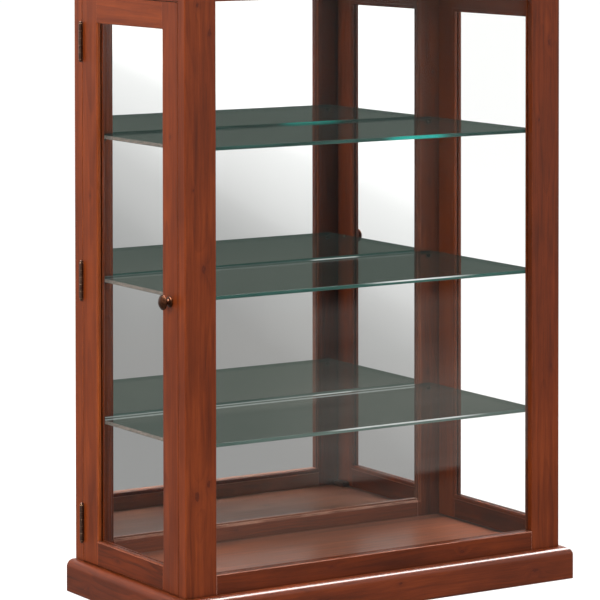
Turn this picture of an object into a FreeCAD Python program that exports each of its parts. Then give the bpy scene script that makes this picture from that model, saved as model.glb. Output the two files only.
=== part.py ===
import FreeCAD, Part
import math
import os
from FreeCAD import Vector as V

# Free-standing glazed display case: two wooden face frames (front with a fixed
# pane, back with a mirror), a glazed door on each side, three loose glass
# shelves, a bullnosed plinth and a moulded cornice.
# Frame: millimetres, +Z up, front faces -Y, origin at the middle of the
# footprint on the floor. Sided pieces are built on the left (-X) and mirrored.

# ---------------------------------------------------------------- dimensions
BODY_W = 950.0            # across the case, outside face to outside face
BODY_D = 470.0            # front face of the front frame to the back
OVERHANG = 22.0           # plinth and cornice proud of the body
PLINTH_H = 69.0
DOOR_ZONE_H = 1220.0      # plinth top to the underside of the top rails
TOP_RAIL_H = 70.0
TOP_PANEL_T = 18.0

FRONT_T = 28.0            # front frame thickness
BACK_T = 35.0             # back frame thickness
FRONT_STILE_W = 74.0
BACK_STILE_W = 77.0
BOTTOM_RAIL_SHOW = 41.5   # bottom rails above the plinth top
RAIL_FOOT = 12.0          # bottom rails and corner blocks start this far above the floor
SIDE_RAIL_T = 28.0

GLASS_T = 4.0
REBATE = 9.0              # width of the glass rebates
PANE_CLEAR = 0.5          # between a pane and the wood round it
BEAD_CLEAR = 0.2          # between a glazing bead and the wood round it
BEAD_ROUND = 4.0          # quarter-round of the glazing beads

FLOOR_T = 18.0
FLOOR_RISE = 1.0          # floor panel above the plinth top
FLOOR_CLEAR = 0.5         # round the edge of the floor panel

SCREW_CLEAR = 0.02        # round a screw in its countersunk hole

# ---------------------------------------------------------------- main planes
HALF_W = BODY_W / 2
FRONT_Y = -(BODY_D + OVERHANG) / 2 + OVERHANG
BACK_Y = FRONT_Y + BODY_D
FRONT_INNER_Y = FRONT_Y + FRONT_T     # rear face of the front frame
BACK_INNER_Y = BACK_Y - BACK_T        # front face of the back frame
SIDE_INNER_X = HALF_W - SIDE_RAIL_T   # inner face of the side rails
FRONT_OPEN_X = HALF_W - FRONT_STILE_W  # inner edge of a front stile
BACK_OPEN_X = HALF_W - BACK_STILE_W   # inner edge of a back stile
OPEN_Z0 = PLINTH_H + BOTTOM_RAIL_SHOW  # top of the bottom rails
OPEN_Z1 = PLINTH_H + DOOR_ZONE_H      # underside of the top rails
FRAME_TOP = OPEN_Z1 + TOP_RAIL_H
CASE_TOP = FRAME_TOP + TOP_PANEL_T
FLOOR_TOP = PLINTH_H + FLOOR_RISE
FLOOR_UNDER = FLOOR_TOP - FLOOR_T


# ---------------------------------------------------------------- helpers
def box(x0, y0, z0, x1, y1, z1):
    return Part.makeBox(x1 - x0, y1 - y0, z1 - z0, V(x0, y0, z0))


def board(x0, y0, z0, x1, y1, z1, rounds=None):
    """A squared board; rounds maps edge names such as 'x-y-' (the edge at
    lowest x and lowest y) to the radius of its eased arris."""
    solid = box(x0, y0, z0, x1, y1, z1)
    limits = {"x-": x0, "x+": x1, "y-": y0, "y+": y1, "z-": z0, "z+": z1}
    for name, radius in (rounds or {}).items():
        sides = (name[:2], name[2:])
        for edge in solid.Edges:
            centre = edge.CenterOfMass
            if all(abs(getattr(centre, side[0]) - limits[side]) < 1e-6 for side in sides):
                solid = solid.makeFillet(radius, [edge])
                break
    return solid


def cylinder(radius, start, end):
    run = V(*end) - V(*start)
    return Part.makeCylinder(radius, run.Length, V(*start), run)


def pilot(radius, length, origin, direction):
    """Tool for a screw's pilot hole."""
    return Part.makeCylinder(radius, length, V(*origin), V(*direction))


def fuse(first, *others):
    return first.multiFuse(list(others)).removeSplitter()


def cut_all(shape, tools):
    for tool in tools:
        shape = shape.cut(tool)
    return shape


def mirror_x(shape):
    return shape.mirror(V(0, 0, 0), V(1, 0, 0))


def outward(solid):
    """Turn an inside-out solid the right way."""
    if solid.Volume < 0:
        solid.reverse()
    return solid


def polygon(points):
    return Part.makePolygon(points + [points[0]])


def prism(points, run):
    return Part.Face(polygon(points)).extrude(run)


def profile_face(outline, place):
    """Face inside a closed outline of (u, v) points, each put in space by
    place(u, v). An entry of two points is an arc: through, end."""
    start = current = place(*outline[0])
    edges = []
    for step in outline[1:]:
        if isinstance(step[0], tuple):
            through, end = step
            end = place(*end)
            edges.append(Part.Arc(current, place(*through), end).toShape())
        else:
            end = place(*step)
            edges.append(Part.makeLine(current, end))
        current = end
    edges.append(Part.makeLine(current, start))
    return Part.Face(Part.Wire(edges))


def revolve(outline, origin, direction):
    """Turn an outline of (distance along direction, radius) about its axis."""
    face = profile_face(outline, lambda along, radius: V(along, radius, 0))
    solid = outward(face.revolve(V(0, 0, 0), V(1, 0, 0), 360))
    turn = FreeCAD.Rotation(V(1, 0, 0), V(*direction))
    solid.Placement = FreeCAD.Placement(V(*origin), turn)
    return solid


def screw(head_r, shank_r, length, origin, direction):
    """Countersunk cross-head wood screw, head face at origin, point along a
    horizontal direction."""
    solid = revolve([(0.0, 0.0), (0.0, head_r), (head_r - shank_r, shank_r),
                     (length * 0.8, shank_r), (length, 0.35), (length, 0.0)],
                    origin, direction)
    slot_w, slot_depth = 0.5, 0.7
    slot_l = head_r * 1.3
    axis = V(*direction)
    up = V(0, 0, 1)
    across = axis.cross(up)
    for a, b in ((up, across), (across, up * -1)):
        slot = Part.makeBox(slot_l, slot_w, slot_depth, V(-slot_l / 2, -slot_w / 2, -0.001))
        slot = slot.transformGeometry(FreeCAD.Matrix(
            a.x, b.x, axis.x, origin[0],
            a.y, b.y, axis.y, origin[1],
            a.z, b.z, axis.z, origin[2],
            0, 0, 0, 1))
        solid = solid.cut(slot)
    return solid


def countersink(head_r, shank_r, length, origin, direction, seat_clear=SCREW_CLEAR):
    """Tool for a screw's clearance hole and the seat of its head."""
    hole_r = shank_r + SCREW_CLEAR
    return revolve([(0, 0), (0, head_r + SCREW_CLEAR), (head_r - shank_r + seat_clear, hole_r),
                    (length, hole_r), (length, 0)], origin, direction)


def bead_frame(x0, z0, x1, z1, y_glass, y_inner):
    """Four mitred quarter-round beads lining a rectangle in an XZ plane, from
    y_glass against the glass to y_inner."""
    width = REBATE - BEAD_CLEAR
    flat = width - BEAD_ROUND
    bulge = BEAD_ROUND * math.sin(math.pi / 4)
    # (distance from the rebate wall, y)
    outline = [(0, y_glass), (width, y_glass), (width, y_inner - BEAD_ROUND),
               ((flat + bulge, y_inner - BEAD_ROUND + bulge), (flat, y_inner)),
               (0, y_inner)]

    def bead(place, run, corners):
        length = profile_face(outline, place).extrude(run)
        mitre = prism([V(x, y_glass - 1, z) for x, z in corners],
                      V(0, y_inner - y_glass + 2, 0))
        return length.common(mitre).Solids[0]

    beads = []
    for x, inward in ((x0, 1), (x1, -1)):
        x_in = x + inward * width
        beads.append(bead(lambda u, y: V(x + inward * u, y, z0), V(0, 0, z1 - z0),
                          [(x, z0), (x_in, z0 + width), (x_in, z1 - width), (x, z1)]))
    for z, inward in ((z0, 1), (z1, -1)):
        z_in = z + inward * width
        beads.append(bead(lambda u, y: V(x0, y, z + inward * u), V(x1 - x0, 0, 0),
                          [(x0, z), (x0 + width, z_in), (x1 - width, z_in), (x1, z)]))
    return beads


def quarter_round(radius):
    """Stations (depth, widening) down a quarter-round, widest at the face."""
    steps = 6
    angles = [math.pi / 2 * i / steps for i in range(steps + 1)]
    return [(radius * (1 - math.cos(a)), radius * (1 - math.sin(a))) for a in angles]


def round_tools(stations, u0, v0, u1, v1, place):
    """Lofts between the stations (depth, widening) of the rectangle u0, v0 to
    u1, v1, put in space by place(depth, u, v)."""
    def outline(depth, grow):
        return polygon([place(depth, u0 - grow, v0 - grow), place(depth, u1 + grow, v0 - grow),
                        place(depth, u1 + grow, v1 + grow), place(depth, u0 - grow, v1 + grow)])
    return [outward(Part.makeLoft([outline(*near), outline(*far)], True, True))
            for near, far in zip(stations, stations[1:])]


# ---------------------------------------------------------------- face frames
TENON_L = 30.0


def face_rail(half_w, y0, y1, z0, z1, tenon_y, tenon_z, rounds=None):
    """Rail across the case with a tenon at each end."""
    rail = board(-half_w, y0, z0, half_w, y1, z1, rounds)
    tenon = box(-half_w - TENON_L, tenon_y[0], tenon_z[0],
                half_w + TENON_L, tenon_y[1], tenon_z[1])
    return fuse(rail, tenon)


def over_opening(half_w, grow, y0, y1, rounds=None):
    """Slab over a face frame's opening, lapping it all round by grow."""
    return board(-half_w - grow, y0, OPEN_Z0 - grow,
                 half_w + grow, y1, OPEN_Z1 + grow, rounds)


# Front frame
FRONT_LIP = 16.0          # wood in front of the front pane
FRONT_TENON_Y = (FRONT_Y + 4, FRONT_Y + 14)
FRONT_TENON_EDGE = 10.0   # tenon in from the rail's outer edge
FRONT_TENON_OPEN = 14.0   # tenon in from the opening
FRONT_GLASS_Y = FRONT_Y + FRONT_LIP
FRONT_BEAD_SET = 0.5      # beads short of the frame's rear face


def front_glass_space():
    return over_opening(FRONT_OPEN_X, REBATE, FRONT_GLASS_Y, FRONT_INNER_Y)


def front_rails():
    """Bottom and top rail."""
    bottom = face_rail(FRONT_OPEN_X, FRONT_Y, FRONT_INNER_Y, RAIL_FOOT, OPEN_Z0, FRONT_TENON_Y,
                       (RAIL_FOOT + FRONT_TENON_EDGE, OPEN_Z0 - FRONT_TENON_OPEN),
                       {"y-z+": 1.5, "y+z+": 1.0})
    top = face_rail(FRONT_OPEN_X, FRONT_Y, FRONT_INNER_Y, OPEN_Z1, FRAME_TOP, FRONT_TENON_Y,
                    (OPEN_Z1 + FRONT_TENON_OPEN, FRAME_TOP - FRONT_TENON_EDGE),
                    {"y-z-": 1.5, "y+z-": 1.0})
    space = front_glass_space()
    return bottom.cut(space), top.cut(space)


def front_stile(rails, pin_holes):
    stile = board(-HALF_W, FRONT_Y, 0, -FRONT_OPEN_X, FRONT_INNER_Y, FRAME_TOP,
                  {"x-y-": 3.0, "x-y+": 1.0, "x+y-": 1.5})
    return cut_all(stile, rails + [front_glass_space()] + pin_holes)


def front_glass():
    return over_opening(FRONT_OPEN_X, REBATE - PANE_CLEAR,
                        FRONT_GLASS_Y, FRONT_GLASS_Y + GLASS_T)


def front_beads():
    grow = REBATE - BEAD_CLEAR
    return bead_frame(-FRONT_OPEN_X - grow, OPEN_Z0 - grow, FRONT_OPEN_X + grow, OPEN_Z1 + grow,
                      FRONT_GLASS_Y + GLASS_T, FRONT_INNER_Y - FRONT_BEAD_SET)


# Back frame
MIRROR_LIP = 10.0         # wood in front of the mirror
MOULD_STEP_W = 4.5        # flat of the moulded edge round the mirror
MOULD_STEP_D = 5.0        # set back this far from the frame's face
MOULD_ROUND = 5.0         # its quarter-round
MOULD_OVERCUT = 0.01      # so the round's tools overrun the faces they meet
BACKING_T = 6.0
BACKING_LAP = 20.0
BACK_TENON_Y = (BACK_INNER_Y + 12, BACK_INNER_Y + 24)
BACK_TENON_EDGE = 8.0
BACK_TENON_OPEN = 28.0
MIRROR_Y = BACK_INNER_Y + MIRROR_LIP
BACKING_Y = MIRROR_Y + GLASS_T
BACKING_REAR_Y = BACKING_Y + BACKING_T

BACKING_SCREW = dict(head_r=3.2, shank_r=1.6)
BACKING_SCREW_INSET = 6.0     # from the edge of the backing's rebate
BACKING_SCREW_ROWS = 6        # up each side


def back_frame_tools():
    """Spaces for the mirror and backing, then the moulded edge: a
    quarter-round down to a flat step."""
    tools = [over_opening(BACK_OPEN_X, REBATE, MIRROR_Y, BACKING_Y),
             over_opening(BACK_OPEN_X, BACKING_LAP, BACKING_Y, BACK_Y + 1),
             over_opening(BACK_OPEN_X, MOULD_STEP_W,
                          BACK_INNER_Y - 1, BACK_INNER_Y + MOULD_STEP_D)]
    stations = [(BACK_INNER_Y + depth, MOULD_STEP_W + grow + MOULD_OVERCUT)
                for depth, grow in quarter_round(MOULD_ROUND)]
    stations[0] = (stations[0][0] - MOULD_OVERCUT, stations[0][1])
    return tools + round_tools(stations, -BACK_OPEN_X, OPEN_Z0, BACK_OPEN_X, OPEN_Z1,
                               lambda y, x, z: V(x, y, z))


def back_rails(tools):
    """Bottom and top rail, before the backing's pilot holes."""
    bottom = face_rail(BACK_OPEN_X, BACK_INNER_Y, BACK_Y, RAIL_FOOT, OPEN_Z0, BACK_TENON_Y,
                       (RAIL_FOOT + BACK_TENON_EDGE, OPEN_Z0 - BACK_TENON_OPEN))
    top = face_rail(BACK_OPEN_X, BACK_INNER_Y, BACK_Y, OPEN_Z1, FRAME_TOP, BACK_TENON_Y,
                    (OPEN_Z1 + BACK_TENON_OPEN, FRAME_TOP - BACK_TENON_EDGE))
    return cut_all(bottom, tools), cut_all(top, tools)


def back_stile(rails, frame_tools, screw_holes, pin_holes):
    stile = board(-HALF_W, BACK_INNER_Y, 0, -BACK_OPEN_X, BACK_Y, FRAME_TOP,
                  {"x-y+": 2.0, "x-y-": 1.0})
    return cut_all(stile, rails + frame_tools + screw_holes + pin_holes)


def mirror():
    return over_opening(BACK_OPEN_X, REBATE - PANE_CLEAR, MIRROR_Y, BACKING_Y)


def backing_screw_places():
    """(x, z) of the screws that hold the backing into the frame."""
    inset = BACKING_LAP - BACKING_SCREW_INSET
    x_side = BACK_OPEN_X + inset
    z_low = OPEN_Z0 - inset
    pitch = (OPEN_Z1 + inset - z_low) / (BACKING_SCREW_ROWS - 1)
    rows = [z_low + i * pitch for i in range(BACKING_SCREW_ROWS)]
    places = [(side * x_side, z) for side in (-1, 1) for z in rows]
    return places + [(side * x_side / 3, z) for side in (-1, 1) for z in (rows[0], rows[-1])]


def backing_pilots(places):
    return [pilot(BACKING_SCREW["shank_r"] + SCREW_CLEAR, 17.0,
                  (x, BACKING_REAR_Y, z), (0, -1, 0)) for x, z in places]


def mirror_backing(places):
    backing = over_opening(BACK_OPEN_X, BACKING_LAP - PANE_CLEAR, BACKING_Y, BACKING_REAR_Y,
                           {"y+z+": 0.8, "y+z-": 0.8, "x+y+": 0.8, "x-y+": 0.8})
    return cut_all(backing, [countersink(**BACKING_SCREW, length=8, direction=(0, -1, 0),
                                         origin=(x, BACKING_REAR_Y, z)) for x, z in places])


# ---------------------------------------------------------------- side rails
SIDE_TENON_X = (-HALF_W + 9, -HALF_W + 19)
SIDE_TENON_L = 14.0


def side_rail(z0, z1, tenon_edge, rounds=None):
    """Left rail between the frames; tenon_edge is from its long edges."""
    rail = board(-HALF_W, FRONT_INNER_Y, z0, -SIDE_INNER_X, BACK_INNER_Y, z1, rounds)
    tenon = box(SIDE_TENON_X[0], FRONT_INNER_Y - SIDE_TENON_L, z0 + tenon_edge,
                SIDE_TENON_X[1], BACK_INNER_Y + SIDE_TENON_L, z1 - tenon_edge)
    return fuse(rail, tenon)


# ---------------------------------------------------------------- floor, top
BLOCK_LEG = 60.0
BLOCK_CLEAR = 0.2


def floor_panel(screw_places):
    """Floor with holes for the catch screws, both sides."""
    panel = box(-SIDE_INNER_X + FLOOR_CLEAR, FRONT_INNER_Y + FLOOR_CLEAR, FLOOR_UNDER,
                SIDE_INNER_X - FLOOR_CLEAR, BACK_INNER_Y - FLOOR_CLEAR, FLOOR_TOP)
    return cut_all(panel, [cylinder(1.45, (side * x, y, FLOOR_TOP + 1),
                                    (side * x, y, FLOOR_UNDER - 1))
                           for x, y in screw_places for side in (1, -1)])


def corner_blocks():
    """Triangular glue blocks in the corners under the floor."""
    blocks = []
    for side in (-1, 1):
        for wall_y, inward in ((FRONT_INNER_Y, 1), (BACK_INNER_Y, -1)):
            x = side * (SIDE_INNER_X - BLOCK_CLEAR)
            y = wall_y + inward * BLOCK_CLEAR
            blocks.append(prism([V(x, y, RAIL_FOOT), V(x - side * BLOCK_LEG, y, RAIL_FOOT),
                                 V(x, y + inward * BLOCK_LEG, RAIL_FOOT)],
                                V(0, 0, FLOOR_UNDER - RAIL_FOOT)))
    return blocks


# ---------------------------------------------------------------- mouldings
PLINTH_ROUND = 16.0       # radius of the plinth's top edge
PLINTH_EASE = 1.0         # chamfer at the plinth's foot
PLINTH_BULGE = PLINTH_ROUND * math.sin(math.pi / 4)
CORNICE_H = 45.0
CORNICE_DROP = 27.0       # cornice hangs this far below the top of the frames

# Profiles: (out from the body, height above the moulding's foot)
PLINTH_PROFILE = [
    (0.0, 0.0), (OVERHANG - PLINTH_EASE, 0.0), (OVERHANG, PLINTH_EASE),
    (OVERHANG, PLINTH_H - PLINTH_ROUND),
    ((OVERHANG - PLINTH_ROUND + PLINTH_BULGE, PLINTH_H - PLINTH_ROUND + PLINTH_BULGE),
     (OVERHANG - PLINTH_ROUND, PLINTH_H)),
    (0.0, PLINTH_H)]
CORNICE_PROFILE = [
    (0.0, 0.0), (3.0, 0.0), ((4.4, 1.6), (4.0, 3.5)), (5.0, 4.0),
    ((8.6, 13.4), (16.0, 20.0)), (17.5, 20.0), (17.5, 23.0), (19.0, 23.5),
    ((OVERHANG, 33.0), (19.5, 42.5)), ((18.5, 44.3), (16.5, CORNICE_H)),
    (0.0, CORNICE_H)]


def mitred(length, corners):
    """Trim a moulding to the plan outline corners."""
    return length.common(prism([V(x, y, -5) for x, y in corners],
                               V(0, 0, CASE_TOP + 10))).Solids[0]


def front_moulding(profile, foot_z):
    x_out, y_out = HALF_W + OVERHANG, FRONT_Y - OVERHANG
    face = profile_face(profile, lambda u, z: V(-x_out, FRONT_Y - u, foot_z + z))
    return mitred(face.extrude(V(2 * x_out, 0, 0)),
                  [(-x_out, y_out), (x_out, y_out), (HALF_W, FRONT_Y), (-HALF_W, FRONT_Y)])


def left_moulding(profile, foot_z):
    x_out, y_out = -HALF_W - OVERHANG, FRONT_Y - OVERHANG
    face = profile_face(profile, lambda u, z: V(-HALF_W - u, y_out, foot_z + z))
    return mitred(face.extrude(V(0, BODY_D + OVERHANG, 0)),
                  [(x_out, y_out), (-HALF_W, FRONT_Y), (-HALF_W, BACK_Y), (x_out, BACK_Y)])


# ---------------------------------------------------------------- shelves
SHELF_W = 874.0
SHELF_T = 8.0
SHELF_SHIFT_X = -5.0      # shelves sit a little towards the left door
SHELF_CLEAR = 1.5         # between shelf and frames, front and back
SHELF_HEIGHTS = {         # undersides above the plinth top
    "shelf_bottom": 298.5, "shelf_middle": 603.5, "shelf_top": 911.5}
PIN_R = 3.5
PIN_OUT = 12.0            # length out of the frame
PIN_IN = 11.0             # length in the frame
PIN_X = 425.0
PIN_ZS = [PLINTH_H + height - PIN_R - 0.05 for height in SHELF_HEIGHTS.values()]
COLLAR_EXTRA_R = 2.0
COLLAR_DROP = 2.1         # collar's centre below the pin's


def shelf(height):
    z = PLINTH_H + height
    glass = box(-SHELF_W / 2 + SHELF_SHIFT_X, FRONT_INNER_Y + SHELF_CLEAR, z,
                SHELF_W / 2 + SHELF_SHIFT_X, BACK_INNER_Y - SHELF_CLEAR, z + SHELF_T)
    corners = [edge for edge in glass.Edges
               if abs(abs(edge.tangentAt(edge.FirstParameter).z) - 1) < 1e-6]
    glass = glass.makeFillet(2.5, corners)
    level = [edge for edge in glass.Edges if abs(edge.BoundBox.ZLength) < 1e-6]
    return glass.makeChamfer(0.9, level)


def shelf_pin(x, wall_y, inward, z):
    tip_y = wall_y + inward * PIN_OUT
    shaft = cylinder(PIN_R, (x, wall_y - inward * PIN_IN, z), (x, tip_y, z))
    tip = [edge for edge in shaft.Edges
           if abs(edge.CenterOfMass.y - tip_y) < 1e-6 and edge.Length > 10]
    shaft = shaft.makeFillet(1.0, tip)
    collar_z = z - COLLAR_DROP
    collar = cylinder(PIN_R + COLLAR_EXTRA_R, (x, wall_y + inward * 0.02, collar_z),
                      (x, wall_y + inward * 1.2, collar_z))
    return fuse(shaft, collar)


def shelf_pins():
    return [shelf_pin(side * PIN_X, wall_y, inward, z)
            for z in PIN_ZS for side in (-1, 1)
            for wall_y, inward in ((FRONT_INNER_Y, 1), (BACK_INNER_Y, -1))]


def left_pin_holes(wall_y, inward):
    return [cylinder(PIN_R + 0.02, (-PIN_X, wall_y - inward * (PIN_IN + 0.5), z),
                     (-PIN_X, wall_y, z)) for z in PIN_ZS]


# ---------------------------------------------------------------- left door
DOOR_T = 20.0
DOOR_STILE_W = 63.0
DOOR_BOTTOM_SHOW = 54.5   # top of the door's bottom rail above the plinth top
DOOR_TOP_RAIL_W = 57.0
DOOR_GAP = 1.5
DOOR_FOOT_GAP = 2.0
DOOR_LIP = 9.0            # wood outside the door pane
DOOR_BEAD_SET = 0.3       # beads short of the inside face
QUIRK_GROW = 3.2          # width of the moulded edge round the glass
QUIRK_D = 0.5
STICK_ROUND = 2.8         # quarter-round of the moulded edge
STICK_START = 0.4         # depth at which the quarter-round starts
DOOR_TENON_X = (7.5, 14.5)    # from the outside face
DOOR_TENON_L = 32.0
DOOR_TENON_EDGE = 8.0
DOOR_TENON_OPEN = 12.0

DOOR_X0 = -HALF_W                         # outside face
DOOR_X1 = DOOR_X0 + DOOR_T                # inside face
DOOR_Y0 = FRONT_INNER_Y + DOOR_GAP
DOOR_Y1 = BACK_INNER_Y - DOOR_GAP
DOOR_Z0 = PLINTH_H + DOOR_FOOT_GAP
DOOR_Z1 = OPEN_Z1 - DOOR_GAP
PANE_Y0 = DOOR_Y0 + DOOR_STILE_W          # the door's opening
PANE_Y1 = DOOR_Y1 - DOOR_STILE_W
PANE_Z0 = PLINTH_H + DOOR_BOTTOM_SHOW
PANE_Z1 = DOOR_Z1 - DOOR_TOP_RAIL_W
DOOR_GLASS_X = DOOR_X0 + DOOR_LIP


def door_rail(z0, z1, tenon_z0, tenon_z1, rounds):
    rail = board(DOOR_X0, PANE_Y0, z0, DOOR_X1, PANE_Y1, z1, rounds)
    tenon = box(DOOR_X0 + DOOR_TENON_X[0], PANE_Y0 - DOOR_TENON_L, tenon_z0,
                DOOR_X0 + DOOR_TENON_X[1], PANE_Y1 + DOOR_TENON_L, tenon_z1)
    return fuse(rail, tenon)


def over_door_opening(grow, x0, x1):
    return box(x0, PANE_Y0 - grow, PANE_Z0 - grow, x1, PANE_Y1 + grow, PANE_Z1 + grow)


def door_edge_tools():
    """Pane space, then the moulded edge: a quarter-round into the opening
    with a fine quirk round it."""
    stations = [(DOOR_X0 + STICK_START + depth, grow)
                for depth, grow in quarter_round(STICK_ROUND)]
    stations[-1] = (stations[-1][0], 1e-3)    # keeps the last loft off the opening's walls
    return ([over_door_opening(REBATE, DOOR_GLASS_X, DOOR_X1 + 1)]
            + round_tools(stations, PANE_Y0, PANE_Z0, PANE_Y1, PANE_Z1, V)
            + [over_door_opening(QUIRK_GROW, DOOR_X0 - 1, DOOR_X0 + QUIRK_D)])


def door_wood():
    """Stiles and rails, before the holes for the fittings."""
    bottom = door_rail(DOOR_Z0, PANE_Z0, DOOR_Z0 + DOOR_TENON_EDGE, PANE_Z0 - DOOR_TENON_OPEN,
                       {"x-z-": 1.0, "x+z-": 1.0})
    top = door_rail(PANE_Z1, DOOR_Z1, PANE_Z1 + DOOR_TENON_OPEN, DOOR_Z1 - DOOR_TENON_EDGE,
                    {"x-z+": 1.0, "x+z+": 1.0})
    front = board(DOOR_X0, DOOR_Y0, DOOR_Z0, DOOR_X1, PANE_Y0, DOOR_Z1,
                  {"x-y-": 1.5, "x+y-": 1.0})
    rear = board(DOOR_X0, PANE_Y1, DOOR_Z0, DOOR_X1, DOOR_Y1, DOOR_Z1,
                 {"x-y+": 1.0, "x+y+": 1.0})
    tools = door_edge_tools()
    return {"front_stile": cut_all(front, tools + [bottom, top]),
            "rear_stile": cut_all(rear, tools + [bottom, top]),
            "top_rail": cut_all(top, tools),
            "bottom_rail": cut_all(bottom, tools)}


def door_glass():
    return over_door_opening(REBATE - PANE_CLEAR, DOOR_GLASS_X, DOOR_GLASS_X + GLASS_T)


def door_beads():
    """Beads built in XZ, then X and Y swapped to lie in the door."""
    grow = REBATE - BEAD_CLEAR
    beads = bead_frame(PANE_Y0 - grow, PANE_Z0 - grow, PANE_Y1 + grow, PANE_Z1 + grow,
                       DOOR_GLASS_X + GLASS_T, DOOR_X1 - DOOR_BEAD_SET)
    swap_xy = FreeCAD.Matrix(0, 1, 0, 0,
                             1, 0, 0, 0,
                             0, 0, 1, 0,
                             0, 0, 0, 1)
    return [outward(bead.transformGeometry(swap_xy)).Solids[0] for bead in beads]


# ---------------------------------------------------------------- hinges
HINGE_H = 76.0
HINGE_HEIGHTS = (83.0, 606.0, 1120.0)   # centres above the plinth top
HINGE_FEET = [PLINTH_H + height - HINGE_H / 2 for height in HINGE_HEIGHTS]
LEAF_T = 1.7
LEAF_W = 18.0             # leaf inside the wood, from the outside face
LEAF_GAP = 0.1            # from the pin's plane to each leaf
KNUCKLES = 5
KNUCKLE_H = HINGE_H / KNUCKLES
KNUCKLE_R = 4.0
KNUCKLE_OUT = 4.5         # pin centre proud of the outside face
KNUCKLE_GAP = 0.1         # off each end of a knuckle
HINGE_PIN_R = 1.6
PIN_CLEAR = 0.05
PIN_AXIS_X = DOOR_X0 - KNUCKLE_OUT
PIN_AXIS_Y = (DOOR_Y1 + BACK_INNER_Y) / 2

HINGE_SCREW = dict(head_r=3.3, shank_r=1.7)
HINGE_SCREW_X = DOOR_X0 + LEAF_W / 2 + 1.0
HINGE_SCREW_OFFSETS = (-26.0, 0.0, 26.0)    # from the hinge's centre


def on_pin_axis(radius, z0, z1):
    return cylinder(radius, (PIN_AXIS_X, PIN_AXIS_Y, z0), (PIN_AXIS_X, PIN_AXIS_Y, z1))


def hinge_leaf(foot_z, side, own_knuckles):
    """Leaf behind (side 1) or in front of (side -1) the pin's plane, and the
    tool for its recess."""
    faces = sorted(PIN_AXIS_Y + side * offset for offset in (LEAF_GAP, LEAF_GAP + LEAF_T))
    end_x = DOOR_X0 + LEAF_W
    recess = board(PIN_AXIS_X, faces[0], foot_z, end_x, faces[1], foot_z + HINGE_H)
    ends = [edge for edge in recess.Edges
            if abs(edge.CenterOfMass.x - end_x) < 1e-6 and edge.BoundBox.YLength > 0.5]
    recess = recess.makeFillet(3.0, ends)
    plate = recess
    own = []
    for i in range(KNUCKLES):
        z0, z1 = foot_z + i * KNUCKLE_H, foot_z + (i + 1) * KNUCKLE_H
        if i in own_knuckles:
            own.append(on_pin_axis(KNUCKLE_R, z0 + KNUCKLE_GAP, z1 - KNUCKLE_GAP))
        else:
            plate = plate.cut(on_pin_axis(KNUCKLE_R + 0.25, z0 - KNUCKLE_GAP, z1 + KNUCKLE_GAP))
    leaf = fuse(plate, *own)
    leaf = leaf.cut(on_pin_axis(HINGE_PIN_R + PIN_CLEAR, foot_z - 5, foot_z + HINGE_H + 5))
    return leaf, recess


def hinge_half(side, own_knuckles):
    """Leaves and screws on one side of the pins, and the tools that cut the
    recesses and pilot holes in the wood."""
    leaves, screws, recesses, pilots = [], [], [], []
    direction = (0, side, 0)
    for foot_z in HINGE_FEET:
        leaf, recess = hinge_leaf(foot_z, side, own_knuckles)
        for offset in HINGE_SCREW_OFFSETS:
            z = foot_z + HINGE_H / 2 + offset
            head = (HINGE_SCREW_X, PIN_AXIS_Y + side * LEAF_GAP, z)
            screws.append(screw(**HINGE_SCREW, length=15.0, origin=head, direction=direction))
            leaf = leaf.cut(countersink(**HINGE_SCREW, length=16.0, origin=head,
                                        direction=direction))
            pilots.append(pilot(1.75, 18.0, (HINGE_SCREW_X, PIN_AXIS_Y, z), direction))
        leaves.append(leaf)
        recesses.append(recess)
    return leaves, screws, recesses + pilots


def hinge_pin(foot_z):
    """Pin with a disc and a ball at each end."""
    top_z = foot_z + HINGE_H
    ball_r, ball_off, disc_r = 3.1, 2.9, 3.9
    return fuse(on_pin_axis(HINGE_PIN_R, foot_z - 0.4, top_z + 0.4),
                Part.makeSphere(ball_r, V(PIN_AXIS_X, PIN_AXIS_Y, top_z + ball_off)),
                Part.makeSphere(ball_r, V(PIN_AXIS_X, PIN_AXIS_Y, foot_z - ball_off)),
                on_pin_axis(disc_r, top_z + 0.1, top_z + 1.1),
                on_pin_axis(disc_r, foot_z - 1.1, foot_z - 0.1))


# ---------------------------------------------------------------- knob
KNOB_Y = DOOR_Y0 + DOOR_STILE_W / 2
KNOB_Z = PLINTH_H + 603.0
KNOB_SCREW_R = 2.0
# The knob's dome is part of a sphere centred on its axis, from its rim outwards
DOME_R = 20.07
DOME_RIM = (19.2, 14.6)   # (out from the door, radius)
DOME_ANGLE = math.asin(DOME_RIM[1] / DOME_R)
DOME_CENTRE = DOME_RIM[0] - DOME_R * math.cos(DOME_ANGLE)
# (out from the door, radius)
KNOB_PROFILE = [
    (0.0, 0.0), (0.0, 11.0), (1.6, 11.0),
    ((3.3, 10.2), (4.2, 8.4)), ((6.6, 5.9), (10.0, 5.2)),
    ((13.2, 7.6), (15.2, 13.6)), ((17.2, 16.0), DOME_RIM),
    ((DOME_CENTRE + DOME_R * math.cos(DOME_ANGLE / 2), DOME_R * math.sin(DOME_ANGLE / 2)),
     (DOME_CENTRE + DOME_R, 0.0))]


def on_knob_axis(radius, x0, x1):
    return cylinder(radius, (x0, KNOB_Y, KNOB_Z), (x1, KNOB_Y, KNOB_Z))


def knob():
    solid = revolve(KNOB_PROFILE, (DOOR_X0, KNOB_Y, KNOB_Z), (-1, 0, 0))
    return solid.cut(on_knob_axis(KNOB_SCREW_R + 0.02, DOOR_X0 + 1, DOOR_X0 - 14))


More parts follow.
